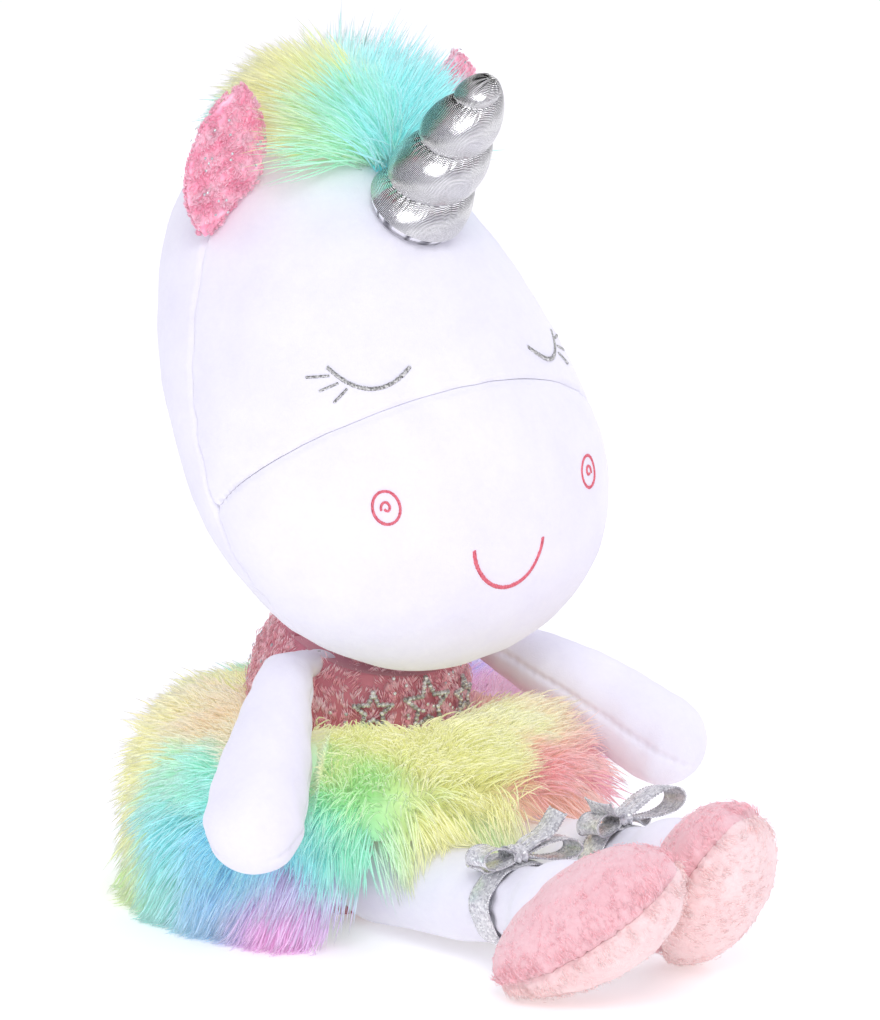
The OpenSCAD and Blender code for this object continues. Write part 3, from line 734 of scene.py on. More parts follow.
def makeLeg(side, word):
    # profile: round hip, cone to the ankle, waist under the ribbon, round instep
    root, end, long = legLine(side, word)
    a, b = np.linspace(-90, 0, 10) * degree, np.linspace(-35, 90, 16) * degree
    ankle = long - legs["ankleBack"]
    stops = list(zip(legs["thighR"] * np.sin(a), legs["thighR"] * np.cos(a) + 0.02))
    stops += [(long * 0.25, 15.2), (long * 0.5, 14.3), (ankle - 14, 13.4), (ankle - 5, 12.7),
              (ankle, legs["ankleR"]), (ankle + 5, 12.9)]
    stops += list(zip(long + legs["instepR"] * np.sin(b), legs["instepR"] * np.cos(b) + 0.02))
    line = resample(stops, legs["rows"], 3)
    s, r = line[:, :1], np.maximum(line[:, 1:], 0.15)
    around = np.arange(legs["cols"])[None, :] * 2 * np.pi / legs["cols"]
    along, across, up = axes(end - root)
    middle = root + s * along
    edge = np.abs(np.cos(around + 0.5)) * r
    dip = seamDip(edge + 30 * (np.sin(around + 0.5) > 0), s + 0 * around, 1.0, 1.1) * smooth(3, 11, r)
    pinch = np.exp(-((s - ankle) / 7) ** 2) * np.sin(9 * around + 2 * np.sin(2 * around)) * 0.5
    x = (r - dip + pinch) * np.cos(around)
    y = (r - dip + pinch) * np.sin(around)
    grid = middle[:, None] + x[..., None] * across + y[..., None] * up
    lump = ripple(grid, 0.6, 30, 28 + side) + ripple(grid, 0.2, 9, 38 + side)
    grid = grid + unit(grid - middle[:, None]) * (lump * np.minimum(r / 6, 1))[..., None]
    grid[..., 2] = np.maximum(grid[..., 2], 0.3)
    piece = makePiece(word + "_leg_plush", bag(grid), whitePlush, word + "_leg",
                      [word + "_leg_cover", word + "_leg_stuffing"])


# Feet: an egg cut into an upper and a sole, gathered along the seam that runs round its edge
feet = {
    "length": 70.0, "width": 42.0, "thick": 36.0, "fat": 0.12, "wall": 2.4, "rows": 84, "cols": 76,
    "spots": 2900, "fibre": 0.16, "upperDye": "FBC3CA", "soleDye": "FFDAD8",
    "pile": {"perLock": 5, "spread": 0.6, "wild": 0.2, "uneven": 0.15, "sag": 0.3, "clump": 0.3,
             "stops": 3},
    "right": {"place": (-27.0, -151.5), "toe": (0.47, -0.67, 0.57), "sole": (0.562, -0.266, -0.783)},
    "left": {"place": (21.5, -149.5), "toe": (-0.2, -0.64, 0.745), "sole": (0.32, -0.757, -0.569)},
}


def footAxes(word):
    # middle and axes of the egg, raised until it just stands clear of the floor: an ellipsoid
    # reaches down by the root of the summed squares of its half sizes times their axes' heights
    toe, sole = unit(np.array(feet[word]["toe"])), unit(np.array(feet[word]["sole"]))
    side = unit(np.cross(sole, toe))
    rise = np.linalg.norm([toe[2] * feet["length"] / 2, side[2] * feet["width"] / 2,
                           sole[2] * feet["thick"] / 2])
    return np.array([*feet[word]["place"], rise + 0.4]), toe, side, sole


def footPoint(word, along, around, inset=0.0):
    # an egg: half sizes (length, width, thick)/2, each cross section sqrt(1 - along^2) (1 + fat along)
    middle, toe, side, sole = footAxes(word)
    across = np.sqrt(np.maximum(1 - along ** 2, 0)) * (1 + feet["fat"] * along)
    x = (feet["width"] / 2 - inset) * across * np.cos(around)
    z = (feet["thick"] / 2 - inset) * across * np.sin(around)
    y = along * (feet["length"] / 2 - inset)
    return middle + y[..., None] * toe + x[..., None] * side - z[..., None] * sole


def makeFoot(word):
    # each panel is half of the egg, dipped and gathered by waves along the seam at its edge
    for part, start, material, slot in (("upper", 0.0, pinkPlush, "rose_minky"),
                                        ("sole", 180.0, solePlush, "pink_minky")):
        stop = mix(0.5, 179.5, np.linspace(0, 1, feet["rows"]))[:, None] * degree
        along = -np.cos(stop)
        turn = (start + 0.4 + 179.2 * crowd(feet["cols"])[None, :]) * degree + 0 * stop
        along = along + 0 * turn
        plain = footPoint(word, along, turn)
        girth = np.maximum(np.sin(stop) * feet["width"] / 2, 0.5)
        off = np.minimum(turn - start * degree, (start + 180) * degree - turn) * girth
        walk = stop * feet["length"] / 2 + 0 * turn
        dip = seamDip(off, walk, 1.5, 1.5)
        pull = np.exp(-(off / 6) ** 2) * 0.5 * np.sin(walk * 2 * np.pi / 5.2 + 2 * np.sin(walk / 4))
        puff = ripple(plain, 0.6, 24, 51) + ripple(plain, 0.3, 8, 52)
        inset = dip * np.minimum(girth / 8, 1) + pull * np.minimum(girth / 12, 1) + puff
        outer = footPoint(word, along, turn, inset)
        inner = footPoint(word, along, turn, inset + feet["wall"])
        for skin in (outer, inner):
            skin[..., 2] = np.maximum(skin[..., 2], 0.2)
        stands = [word + "_foot_" + part] + ([word + "_foot_stuffing"] if part == "upper" else [])
        piece = makePiece(word + "_foot_" + part + "_plush", shell(outer, inner), material,
                          word + "_leg", stands)


for side, word in sides:
    makeLeg(side, word)
    makeFoot(word)
print("legs and feet sewn")


# Torso: round, narrower at the top, with a side seam; the bag of pellets and the stuffing are inside
torso = {
    "outline": ((29.0, 3.4), (35.5, 11), (37, 20), (36, 34), (34.5, 46), (34, 57), (34, 72), (31, 83),
                (25, 92), (6, 96.6)),  # radius and height
    "hollows": (((0, -29, 154), 76.5), ((19, -38, 16.2), 16.4), ((-19, -38, 16.2), 16.4)),
    "chestR": 34.0, "wall": 2.4, "rows": 90, "cols": 120,
    "spots": 3000, "long": 3.2, "fibre": 0.22, "sequins": 130, "sequinR": 0.65,
    "pile": {"perLock": 8, "spread": 0.85, "wild": 0.14, "uneven": 0.12, "sag": 0.35, "clump": 0.4,
             "stops": 3},
}
seat = {"r": 30.0, "thick": 2.9, "gathers": 24}
neck = {"r": 15.0, "low": 66.0, "high": 78.0, "y": -2.0}
waist = {"r": 35.7, "z": 57.0, "thick": 1.35, "ruffle": 0.25, "waves": 40}


def torsoPoint(turn, share, inset=0.0):
    # the outline turned round Z, hollowed where the head and the hips sit
    line = resample(torso["outline"], 200, 3)
    at = share * 199
    r = np.interp(at, np.arange(200), line[:, 0]) - inset
    z = np.interp(at, np.arange(200), line[:, 1])
    t = turn * degree
    p = np.stack([r * np.sin(t), -r * np.cos(t), z + 0 * t], -1)
    into = np.stack([-np.sin(t) + 0 * z, np.cos(t) + 0 * z, 0 * t + 0 * z], -1)
    for middle, size in torso["hollows"]:
        away = p - np.array(middle, float)
        gap = np.linalg.norm(away, axis=-1)
        push = np.maximum(size + inset - gap, 0)[..., None]
        p = p + push * (into if size < 20 else away / gap[..., None])
    return p


def torsoGrid(start, inset=0.0):
    # half of the torso from this turn on, dipped by seamDip of the distance from its side seams
    turn = (start + 180 * crowd(torso["cols"], 0.6))[None, :]
    share = crowd(torso["rows"], 0.3)[:, None]
    turn, share = np.broadcast_arrays(turn, share)
    off = np.minimum(turn - start, start + 180 - turn) * degree * torso["chestR"]
    dip = seamDip(off, share * 100, 0.8, 1.0) + ripple(torsoPoint(turn, share), 0.4, 25, 61)
    return torsoPoint(turn, share, inset + dip)


def roseDyeWithPaintedShade(points, deep="EDA3AE", pale="FFDADF"):
    # the rose dye, deeper with painted shade for the hollows of the combed pile and paler with painted
    # light for its crests, laid out as soft random blotches
    f = (0.5 + ripple(points, 0.6, 6, 71) + ripple(points, 0.4, 2.5, 72))[..., None]
    return mix(np.array(linear(deep)), np.array(linear(pale)), np.clip(f, 0, 1))


def makeTorso():
    # a front and a back panel, each a padded wall of this thickness
    for start, word, stands in ((-90, "front", ["torso_front_cover", "torso_stuffing", "pellet_bag"]),
                                (90, "back", ["torso_back_cover"])):
        shape = shell(torsoGrid(start), torsoGrid(start, torso["wall"]))
        piece = makePiece("torso_" + word + "_minky", shape, roseBacking, "torso", stands)


def makeSeat():
    # a flat disc: out along the floor, up its rim and back, waved by sin(gathers t) near the rim
    wide, thick = seat["r"], seat["thick"]
    r = np.concatenate([crowd(24) * wide, np.full(6, wide), (1 - crowd(24)) * wide])[1:-1, None]
    z = np.concatenate([np.zeros(24), np.linspace(0, thick, 6), np.full(24, thick)])[1:-1, None]
    t = np.arange(120)[None, :] * 3 * degree
    edge = smooth(wide - 6, wide, r) * 0.35 * np.sin(seat["gathers"] * t)
    z = np.clip(z + edge + 0.15, 0.05, thick)
    r = r - 0.4 * np.abs(edge)
    piece = makePiece("seat_minky", bag(np.stack([r * np.sin(t), -r * np.cos(t), z], -1)), roseBacking,
                      "torso", ["seat_panel"])


def makeNeck():
    # a short stuffed plug: a straight wall with nine soft creases and a half round top
    a = np.linspace(0, 88, 24)[:, None] * degree
    r = np.concatenate([[[4.0], [neck["r"] - 1]], [[neck["r"]]], neck["r"] * np.cos(a)])
    z = np.concatenate([[[neck["low"] - 1.2]] * 2, [[neck["low"]]], neck["high"] + neck["r"] * np.sin(a)])
    t = np.arange(72)[None, :] * 5 * degree
    r = r - 0.4 * np.sin(9 * t) ** 2 * smooth(0, 14, r)
    plug = np.stack([r * np.sin(t), neck["y"] - r * np.cos(t), z + 0 * t], -1)
    piece = makePiece("neck_plush", bag(plug), whitePlush, "neck", ["neck_cover", "neck_stuffing"])


def makeWaist(rows=240, cols=16):
    # the elastic that gathers the skirt: a ring whose thickness is thick + ruffle sin(waves t)
    a = np.arange(cols)[None, :] * 360 / cols * degree
    t = np.arange(rows)[:, None] * 360 / rows * degree
    ring = waist["thick"] + waist["ruffle"] * np.sin(waist["waves"] * t)
    r, z = waist["r"] + ring * np.cos(a), waist["z"] + ring * 1.3 * np.sin(a)
    grid = np.stack([r * np.sin(t), -r * np.cos(t), z], -1)
    i, j = np.meshgrid(np.arange(rows), np.arange(cols), indexing="ij")
    k, m = (i + 1) % rows, (j + 1) % cols
    faces = np.stack([i * cols + j, i * cols + m, k * cols + m, k * cols + j], -1).reshape(-1, 4)
    makePiece("waist_elastic_ring", (grid.reshape(-1, 3), [faces]), elasticCloth, "torso",
              ["waist_elastic"])


makeTorso()
makeSeat()
makeNeck()
makeWaist()
print("torso sewn")


# Pile: strands grow in locks; all strands of a lock lean to its middle strand
def pushOut(points, a, b, radius):
    # moves points that are inside a round-ended rod out to its surface
    a, b = np.array(a, float), np.array(b, float)
    f = np.clip(((points - a) @ (b - a)) / ((b - a) @ (b - a)), 0, 1)[..., None]
    away = points - (a + f * (b - a))
    gap = np.linalg.norm(away, axis=-1, keepdims=True)
    return np.where(gap < radius, points + away / np.maximum(gap, 0.01) * (radius - gap), points)


def growLocks(spots, aims, length, pull, settings, random, obstacles=(), low=0.4):
    # a point at share f of a strand is length (aim f + sag pull f^2) from its root,
    # and is drawn to its lock's middle strand by clump f^1.5; no point is under the floor
    per, k = settings["perLock"], settings["stops"]
    f = np.linspace(0, 1, k)[None, :, None]
    own = lambda x: np.repeat(x, per, axis=0)
    m = len(spots)
    middle = spots[:, None] + length[:, None, None] * (
        aims[:, None] * f + settings["sag"] * pull[:, None] * f ** 2)
    jitter = random.normal(size=(m * per, 3)) * settings["spread"]
    jitter -= own(aims) * np.einsum("ij,ij->i", jitter, own(aims))[:, None] * 0.8
    roots = own(spots) + jitter
    wild = unit(own(aims) + random.normal(size=(m * per, 3)) * settings["wild"])
    size = own(length) * (1 + settings["uneven"] * random.normal(size=m * per))
    paths = roots[:, None] + size[:, None, None] * (
        wild[:, None] * f + settings["sag"] * own(pull)[:, None] * f ** 2)
    paths = mix(paths, own(middle), settings["clump"] * f ** 1.5)
    for a, b, radius in obstacles:
        paths = pushOut(paths, a, b, radius)
    paths[..., 2] = np.maximum(paths[..., 2], low + 0.3 * np.arange(k)[None, :] / k)
    return paths


def paletteAt(rows, levels, angle, level, period=360.0):
    # rows of dyes evenly spaced round a circle, one row for each level, blended smoothly
    table = np.array([[linear(c) for c in row.split()] for row in rows])
    count = table.shape[1]
    a = (angle / period * count) % count
    i = np.floor(a).astype(int)
    fa = smooth(0, 1, a - i)[..., None]
    ring = mix(table[:, i % count], table[:, (i + 1) % count], fa)
    at = np.interp(level, levels, np.arange(len(levels)))
    j = np.clip(np.floor(at).astype(int), 0, len(levels) - 2)
    fb = smooth(0, 1, at - j)[..., None]
    pick = lambda row: np.take_along_axis(ring, row[None, ..., None], axis=0)[0]
    return mix(pick(j), pick(j + 1), fb)


obstacles = []
for side, word in sides:
    shoulder = np.array(arms["shoulder"]) * (side, 1, 1)
    hand = shoulder + unit(np.array(arms[word + "Run"])) * arms["length"]
    obstacles.append((shoulder, hand, arms["clear"]))
    hip, instep, long = legLine(side, word)
    obstacles.append((hip, instep, legs["clear"]))

# The skirt: two gathered ruffles of dyed long pile. Level is the height above the seat.
skirt = {
    "y": -5.0, "levels": (5.0, 28.0, 48.0, 66.0),
    "dyes": (  # each row starts at the back and runs by the toy's right side, the front and its left
        "8CC0E8 88D8D8 B8E8A8 CDE9A8 96D9CE 9BC4E2 E9A2D6 C8AEDC D6B6CC "
        "C9BEC8 F6CDB8 F8D2A8 F4B4B0 EE9CC8 D09CE0 A0A8E8 8CB8E8 8CC8E0",
        "84DCD8 A4E8B0 EDEFA0 E9EFA2 86D9DD 7BCFE6 78D0E2 84DCC4 EEE79E "
        "C8DCB0 FFCBA8 FFBCA6 FC9CB0 EDA0CC B8A8E4 84BCE8 80D8DC 84DCC8",
        "90E0C0 DDF0A0 F8E0A6 F6E3A8 B4E8C8 8FE3D3 92E2C4 AEEC9C D9F1A0 "
        "FBE59A FF9A9E FFAFAA FCA0BA D8A8E0 A4B4EC 84CFE8 88E0CC 88E0B8",
        "A8E6C8 F3EFA6 FBD9B4 FCD9B8 FBCFA9 FAD2AA F3E8A6 E3F0A2 F0EEAA "
        "FBF0A8 FFEFB4 FFDDB4 FFB8A8 F2B8CC C9B4E4 9CC6EA 8FDCD8 9CE4B8"),
    "lowerLocks": 1650, "upperLocks": 1050, "fibre": 0.34,
    "pile": {"perLock": 14, "spread": 2.5, "wild": 0.13, "uneven": 0.14, "sag": 0.42, "clump": 0.4,
             "stops": 5},
    # the cloth under the pile is darkened by this factor, painted shade beneath the strands
    "whiten": 0.16, "bright": 1.16, "clothShadeUnderPile": 0.92,
    "lowerLong": (20.0, 16.0), "upperLong": (9.0, 19.0),  # mm of pile at the top and bottom of each
    "waistR": 35.5, "seamR": 61.0, "seamZ": 47.5, "waistZ": 58.0, "bulge": 5.5, "wall": 2.0,
    "hemHigh": 34.0, "hemLow": 3.0, "lift": (37, 58),  # turns between which the hem comes down
    "flat": {"upper": (0.032, 0.38), "lower": (0.044, 0.44)},  # metres: each ruffle as it is cut
}


def hemHeight(turn):
    # the hem is on the floor, and lifts over the two legs at the front: hemHigh, dipped between
    # the legs by 5 exp(-(t/7)^2), blended smoothly into hemLow
    t = (turn + 180) % 360 - 180
    high = skirt["hemHigh"] - 5 * np.exp(-(t / 7) ** 2)
    return mix(high, skirt["hemLow"], smooth(*skirt["lift"], np.abs(t)))


def skirtCloth(turn, share, part, inset=0.0):
    # upper: from the waist out over a soft bulge, bulge sin 180 share, to the gathering seam;
    # lower: from the seam down to the hem, its radius growing by a quarter of a sine wave.
    # Both have folds of 11 and 17 waves round the girth.
    t = turn * degree
    folds = np.sin(11 * t + 0.6) * 0.8 + np.sin(17 * t + 1.9) * 0.6
    if part == "upper":
        r = mix(skirt["waistR"], skirt["seamR"], share) + 0.5 * folds * share
        z = mix(skirt["waistZ"], skirt["seamZ"], share) + (
            skirt["bulge"] + 0.5 * folds) * np.sin(np.pi * share) - inset
        r = r - inset * 0.3 * share
    else:
        hem = hemHeight(turn)
        top = skirt["seamZ"] - 1.0
        z = mix(top, hem, share)
        down = (top - z) / (top - skirt["hemLow"])
        r = skirt["seamR"] - 0.5 + skirt["bulge"] * np.sin(np.pi / 2 * np.clip(down * 1.4, 0, 1))
        r = r + folds * (0.4 + down) - inset
    return np.stack([r * np.sin(t), skirt["y"] - r * np.cos(t), z + 0 * t], -1)


def pastel(dye):
    # mixed with white, then brightened
    return np.clip(mix(dye, 1.0, skirt["whiten"]) * skirt["bright"], 0, 0.96)


def skirtDye(points):
    # the palette at a point's turn round the skirt and its height, with the borders waved by ripple
    turn = np.arctan2(points[..., 0], -(points[..., 1] - skirt["y"])) / degree
    dye = paletteAt(skirt["dyes"], skirt["levels"], turn + 180, points[..., 2] + ripple(points, 5, 18, 81))
    return pastel(dye)


def furUv(points, band, along):
    # where each strand lies on its UV map: its angle across, and a band for each piece up
    turn = np.arctan2(points[..., 0], -(points[..., 1])) / degree
    return np.stack([(turn + 180) / 360 * 0.98 + 0.01, (band + 0.1 + 0.8 * along) / 8], -1)


def furPieces(name, paths, dyes, width, body, pieces, material, tip=0.35):
    # splits strands into pieces of neighbouring strands and writes each as closed threads,
    # whose radius falls to tip as 1 - (1 - tip) f^2
    k = paths.shape[1]
    f = np.linspace(0, 1, k)
    taper = width * (1 - (1 - tip) * f ** 2)
    angle = np.arctan2(paths[:, 0, 0], -paths[:, 0, 1] + skirt["y"])
    order = np.argsort(angle)
    made = []
    for part, chosen in enumerate(np.array_split(order, pieces)):
        shape = tubes(paths[chosen], taper)
        colour = perPoint(dyes[chosen])
        spread = np.broadcast_to(f[None, :, None], (len(chosen), k, 1))
        along = perPoint(spread)[:, 0]
        uv = furUv(shape[0], part, along)
        label = name if pieces == 1 else name + "_" + str(part + 1)
        made.append(makePiece(label, shape, material, body, dyes=colour, uv=uv, uvName="OFBake"))
    return made


def dyeStrandsWithPaintedShade(paths, dyeOf, random, root=0.93, tip=1.06, vary=0.04):
    # one dye for each strand, taken a little past its middle, with painted shade darker towards the root,
    # where the pile shades itself, and painted light paler towards the tip
    dye = dyeOf(mix(paths[:, 0], paths[:, -1], 0.6))
    f = np.linspace(0, 1, paths.shape[1])[None, :, None]
    # root and tip scale the dye: painted shade at the root, painted light at the tip
    bright = mix(root, tip, f ** 0.7) * (1 + vary * random.normal(size=(len(paths), 1, 1)))
    out = np.repeat(dye[:, None], paths.shape[1], axis=1)
    out[..., :3] = np.clip(out[..., :3] * bright, 0, 0.97)
    return out


def leaveOutTorn(paths, reach=7.0):
    # leaves out a strand that a limb has torn to both of its sides, with a step longer than reach
    return paths[np.linalg.norm(np.diff(paths, axis=1), axis=-1).max(1) < reach]


def makeSkirt():
    # two rings of cloth, then the pile of each: rooted evenly, aimed by its height on the cloth
    turn = np.arange(300)[None, :] * 1.2
    share = np.linspace(0, 1, 30)[:, None]
    for part, stands in (("upper", "skirt_upper_ruffle"), ("lower", "skirt_lower_ruffle")):
        shape = shell(skirtCloth(turn, share, part), skirtCloth(turn, share, part, skirt["wall"]), True)
        dyes = skirtDye(shape[0])
        # the cloth takes the pile's palette darkened, painted shade beneath the strands
        dyes[:, :3] *= skirt["clothShadeUnderPile"]
        makePiece("skirt_" + part + "_cloth", shape, furFibre, "torso", [stands],
                                dyes=dyes)
    closed = np.linspace(-180, 180, 361)[None, :]
    random = np.random.default_rng(21)
    pile = skirt["pile"]
    # lower ruffle: combed down and out
    grid = skirtCloth(closed, share, "lower")
    spots, out, down, across, row = scatter(grid, skirt["lowerLocks"], random)
    level = row / (len(share) - 1)
    out = out * np.sign((out * (spots - [0, skirt["y"], 0]) * [1, 1, 0]).sum(1))[:, None]
    swirl = (ripple(spots, 0.55, 30, 82) + ripple(spots, 0.35, 12, 83))[:, None]
    rise = mix(0.55, -0.75, smooth(0, 0.35, level))[:, None] * np.array([0, 0, 1.0])
    aims = unit(out * mix(1.15, 0.7, level)[:, None] + rise + across * swirl
                + random.normal(size=spots.shape) * 0.1)
    length = mix(*skirt["lowerLong"], level) * (1 + 0.1 * random.normal(size=len(spots)))
    pull = np.tile([0, 0, -1.0], (len(spots), 1))
    lower = leaveOutTorn(growLocks(spots, aims, length, pull, pile, random, obstacles))
    # upper ruffle: stands up from the seam towards the waist
    grid = skirtCloth(closed, share, "upper")
    spots, out, down, across, row = scatter(grid, skirt["upperLocks"], random)
    level = row / (len(share) - 1)
    away = unit((spots - [0, skirt["y"], 0]) * [1, 1, 0])
    swirl = (ripple(spots, 0.5, 30, 84) + ripple(spots, 0.35, 12, 85))[:, None]
    aims = unit(away * mix(0.12, 0.6, level)[:, None] + np.array([0, 0, 0.85]) + across * swirl
                + random.normal(size=spots.shape) * 0.1)
    length = mix(*skirt["upperLong"], level) * (1 + 0.1 * random.normal(size=len(spots)))
    pull = away * 0.35 - np.array([0, 0, 0.8])
    upper = leaveOutTorn(growLocks(spots, aims, length, pull, pile, random, obstacles))
    for part, paths, pieces in (("lower", lower, 4), ("upper", upper, 3)):
        dyes = dyeStrandsWithPaintedShade(paths, skirtDye, random)
        fur = furPieces("skirt_" + part + "_fur", paths, dyes, skirt["fibre"], "torso",
                        pieces, furFibre)
    print("skirt strands", len(lower) + len(upper))


makeSkirt()
print("skirt grown")


# The mane: a tuft of the same pile on the crown, parted along the middle of the head
mane = {
    "front": -31.0, "back": 26.0, "halfWidth": 7.0, "locks": 920, "fibre": 0.34,
    "dyes": (  # from the toy's right cheek over the parting to its left; each row runs back from the horn
        "84E6EE A4F0BE E2F49C FAF296 EEF2A0 A0EECB", "7FE4F2 9CEEC8 D8F4A0 F8F29A E4F2A4 98EACC",
        "8CE8F0 8AE6F4 A0ECEC B8F2DC A6ECE0 92E8DC", "86E4F4 84E0F4 90E6F0 A4ECE4 9CE8E4 8CE4E0"),
    "leans": (-1.0, -0.15, 0.15, 1.0),  # the lean of each row of dyes
    "long": (15.0, 37.0),  # mm at the back and at the front
    "groundHalf": 8.0, "flat": (0.017, 0.082),
    "pile": {"perLock": 14, "spread": 2.1, "wild": 0.14, "uneven": 0.13, "sag": 0.32, "clump": 0.35,
             "stops": 5},
}


def crest(q, x, inset=0.0, perDegree=1.15):
    # a point on the head at q degrees of level from the crown, forward if negative, and x mm to the side
    level = 180 - np.sqrt(q ** 2 + (x / perDegree) ** 2)
    turn = np.arctan2(x / perDegree, -q) / degree
    return headPoint(turn, level, inset)


def maneDye(forward, lean):
    # the palette from the horn (0) to the back (1) in five of its six steps, blended by the lean
    return paletteAt(mane["dyes"], mane["leans"], np.clip(forward, 0, 1) * 5 / 6, lean, 1.0)


def makeMane():
    # strands lean from the parting by x / halfWidth, longest at the front and swept back behind it
    random = np.random.default_rng(31)
    m = mane["locks"]
    q = random.uniform(mane["front"], mane["back"], m)
    x = random.uniform(-1, 1, m) * mane["halfWidth"] * (1 - 0.3 * np.abs(q / 40) ** 2)
    spots = crest(q, x, 0.6)
    out = unit(crest(q, x, -1.0) - spots)
    back = unit(crest(q + 1.5, x) - crest(q - 1.5, x))
    side = unit(np.cross(back, out))
    side = side * np.sign(side[:, :1])
    lean = x / mane["halfWidth"]
    near = smooth(-6, -26, q)
    aims = unit(out * mix(0.95, 1.0, near)[:, None] * (1.15 - np.abs(lean)[:, None] ** 2 * 0.75)
                + side * (lean * 1.05 + 0.12 * np.sign(lean))[:, None]
                + back * mix(0.5, 0.12, near)[:, None]
                + side * (ripple(spots, 0.3, 14, 91))[:, None] + random.normal(size=spots.shape) * 0.14)
    length = mix(*mane["long"], smooth(24, -22, q)) * (1 - 0.25 * np.abs(lean))
    length = length * (1 + 0.1 * random.normal(size=m))
    pull = side * np.sign(lean)[:, None] * 0.5 + back * 0.5 + np.array([0, 0, -0.7])
    paths = growLocks(spots, aims, length, pull, mane["pile"], random)
    who = np.repeat(lean, mane["pile"]["perLock"])
    dyeOf = lambda at: pastel(maneDye((at[:, 1] + 30) / 85 + ripple(at, 0.07, 16, 92), who))
    dyes = dyeStrandsWithPaintedShade(paths, dyeOf, random)
    pieces = furPieces("mane_fur", paths, dyes, mane["fibre"], "head", 2, furFibre)
    # the strip of cloth that the pile grows from
    qs = np.linspace(mane["front"] - 1, mane["back"] + 1, 60)[:, None]
    xs = np.linspace(-1, 1, 24)[None, :] * mane["groundHalf"]
    qs, xs = np.broadcast_arrays(qs, xs)
    strip = shell(crest(qs, xs, -0.8), crest(qs, xs, 1.2))
    forward, lean = (qs.ravel() - mane["front"]) / 61, xs.ravel() / mane["groundHalf"]
    colour = np.tile(maneDye(forward, lean), (2, 1))
    ground = makePiece("mane_cloth", strip, furFibre, "head", ["mane"], dyes=colour)


makeMane()
print("mane grown")


# Ears: a padded leaf of two panels, cupped forwards, its lower inner edge sewn to the head
ears = {
    "length": 52.0, "width": 25.0, "middle": (45.0, 11.0, 242.0), "tilt": (106.0, 12.0, 5.0),
    "pad": 2.3, "cup": 3.0, "cut": 28.0,  # degrees by which the lower inner edge is cut off
    "spots": 700, "long": 2.6, "fibre": 0.2, "sequins": 20, "sequinR": 0.55,
    "pile": {"perLock": 7, "spread": 0.42, "wild": 0.12, "uneven": 0.12, "sag": 0.35, "clump": 0.6,
             "stops": 3},
    # deep is the painted shade of the pile's hollows, pale the painted light of its crests
    "deep": "F39BB7", "pale": "FBC6D6",
}


def turnMatrix(angle, axis):
    # a right-handed turn about X, Y or Z
    c, s = np.cos(angle * degree), np.sin(angle * degree)
    a, b = [(1, 2), (2, 0), (0, 1)][axis]
    m = np.eye(3)
    m[a, a], m[a, b], m[b, a], m[b, b] = c, -s, s, c
    return m


def earPoint(side, u, v, lift):
    # leaf outline: where two circles of radius bow cross, cut off by a straight line at the foot.
    # Padding pad (4 u (1 - u))^0.4 (1 - v^2)^0.25 is raised by lift, front or back, and the leaf
    # is cupped by the square of its distance from its middle line.
    long, wide = ears["length"], ears["width"]
    bow = (long ** 2 + wide ** 2) / (4 * wide)
    y = v * long / 2
    right = np.maximum(np.sqrt(bow ** 2 - y ** 2) - (bow - wide / 2), 0.05)
    left = np.maximum(-right, -1 - np.tan(ears["cut"] * degree) * (y + long / 2))
    x = mix(left, right, u)
    puff = ears["pad"] * np.sqrt(np.maximum(4 * u * (1 - u), 0)) ** 0.8
    puff = puff * np.sqrt(np.maximum(1 - v ** 2, 0)) ** 0.5
    z = lift * puff + ears["cup"] * ((x / wide * 2) ** 2 - 0.4) + 1.2 * v ** 2
    p = np.stack([x * (-1 if side < 0 else 1), y, z], -1)
    tilt, twist, roll = ears["tilt"]
    m = turnMatrix(tilt, 0) @ turnMatrix(side * roll, 2) @ turnMatrix(side * twist, 1)
    return p @ m.T + np.array(ears["middle"]) * (side, 1, 1)


def pinkDyeWithPaintedShade(points):
    # the same dye, with its painted shade and painted light, in the pinks of the ears
    return roseDyeWithPaintedShade(points, ears["deep"], ears["pale"])


def makeEars():
    # each panel is padded, and its pile is combed outwards and down with a sway to both sides
    u, v = crowd(40, 0.7)[None, :], (2 * crowd(90, 0.5) - 1)[:, None] * 0.995
    u, v = np.broadcast_arrays(u, v)
    for side, word in sides:
        random = np.random.default_rng(41 + side)
        body = word + "_ear"
        for half, lift in (("front", 1.0), ("back", -1.0)):
            outer, inner = earPoint(side, u, v, lift), earPoint(side, u, v, lift * 0.05)
            shape = shell(outer, inner)
            panel = makePiece(word + "_ear_" + half + "_minky", shape, minkyFibre, body,
                              [word + "_ear_" + half], dyes=pinkDyeWithPaintedShade(shape[0]))
            flip = outer if (side > 0) == (lift > 0) else outer[:, ::-1]
            spots, out, down, across, row = scatter(flip, ears["spots"], random)
            sway = (ripple(spots, 1.0, 7, 95) + ripple(spots, 0.8, 3.5, 96))[:, None]
            centre = np.array(0.5), np.array(0.0)
            facing = unit(earPoint(side, *centre, lift) - earPoint(side, *centre, 0.0))
            out = out * np.sign(out @ facing)[:, None]
            aims = unit(out * 0.75 + down * 0.75 + across * sway)
            length = ears["long"] * (1 + 0.15 * random.normal(size=len(spots)))
            paths = growLocks(spots, aims, length, -out * 0.9, ears["pile"], random)
            dyes = dyeStrandsWithPaintedShade(paths, pinkDyeWithPaintedShade, random, 0.88, 1.08)
            furPieces(word + "_ear_" + half + "_pile", paths, dyes, ears["fibre"], body,
                      1, minkyFibre)
            chosen = random.permutation(len(spots))[:ears["sequins"]]
            discs = beads(spots[chosen] + out[chosen] * 1.9, ears["sequinR"], (out[chosen], 0.25))
            makePiece(word + "_ear_" + half + "_sequins", discs, sequinFoil, body)


makeEars()
print("ears sewn")


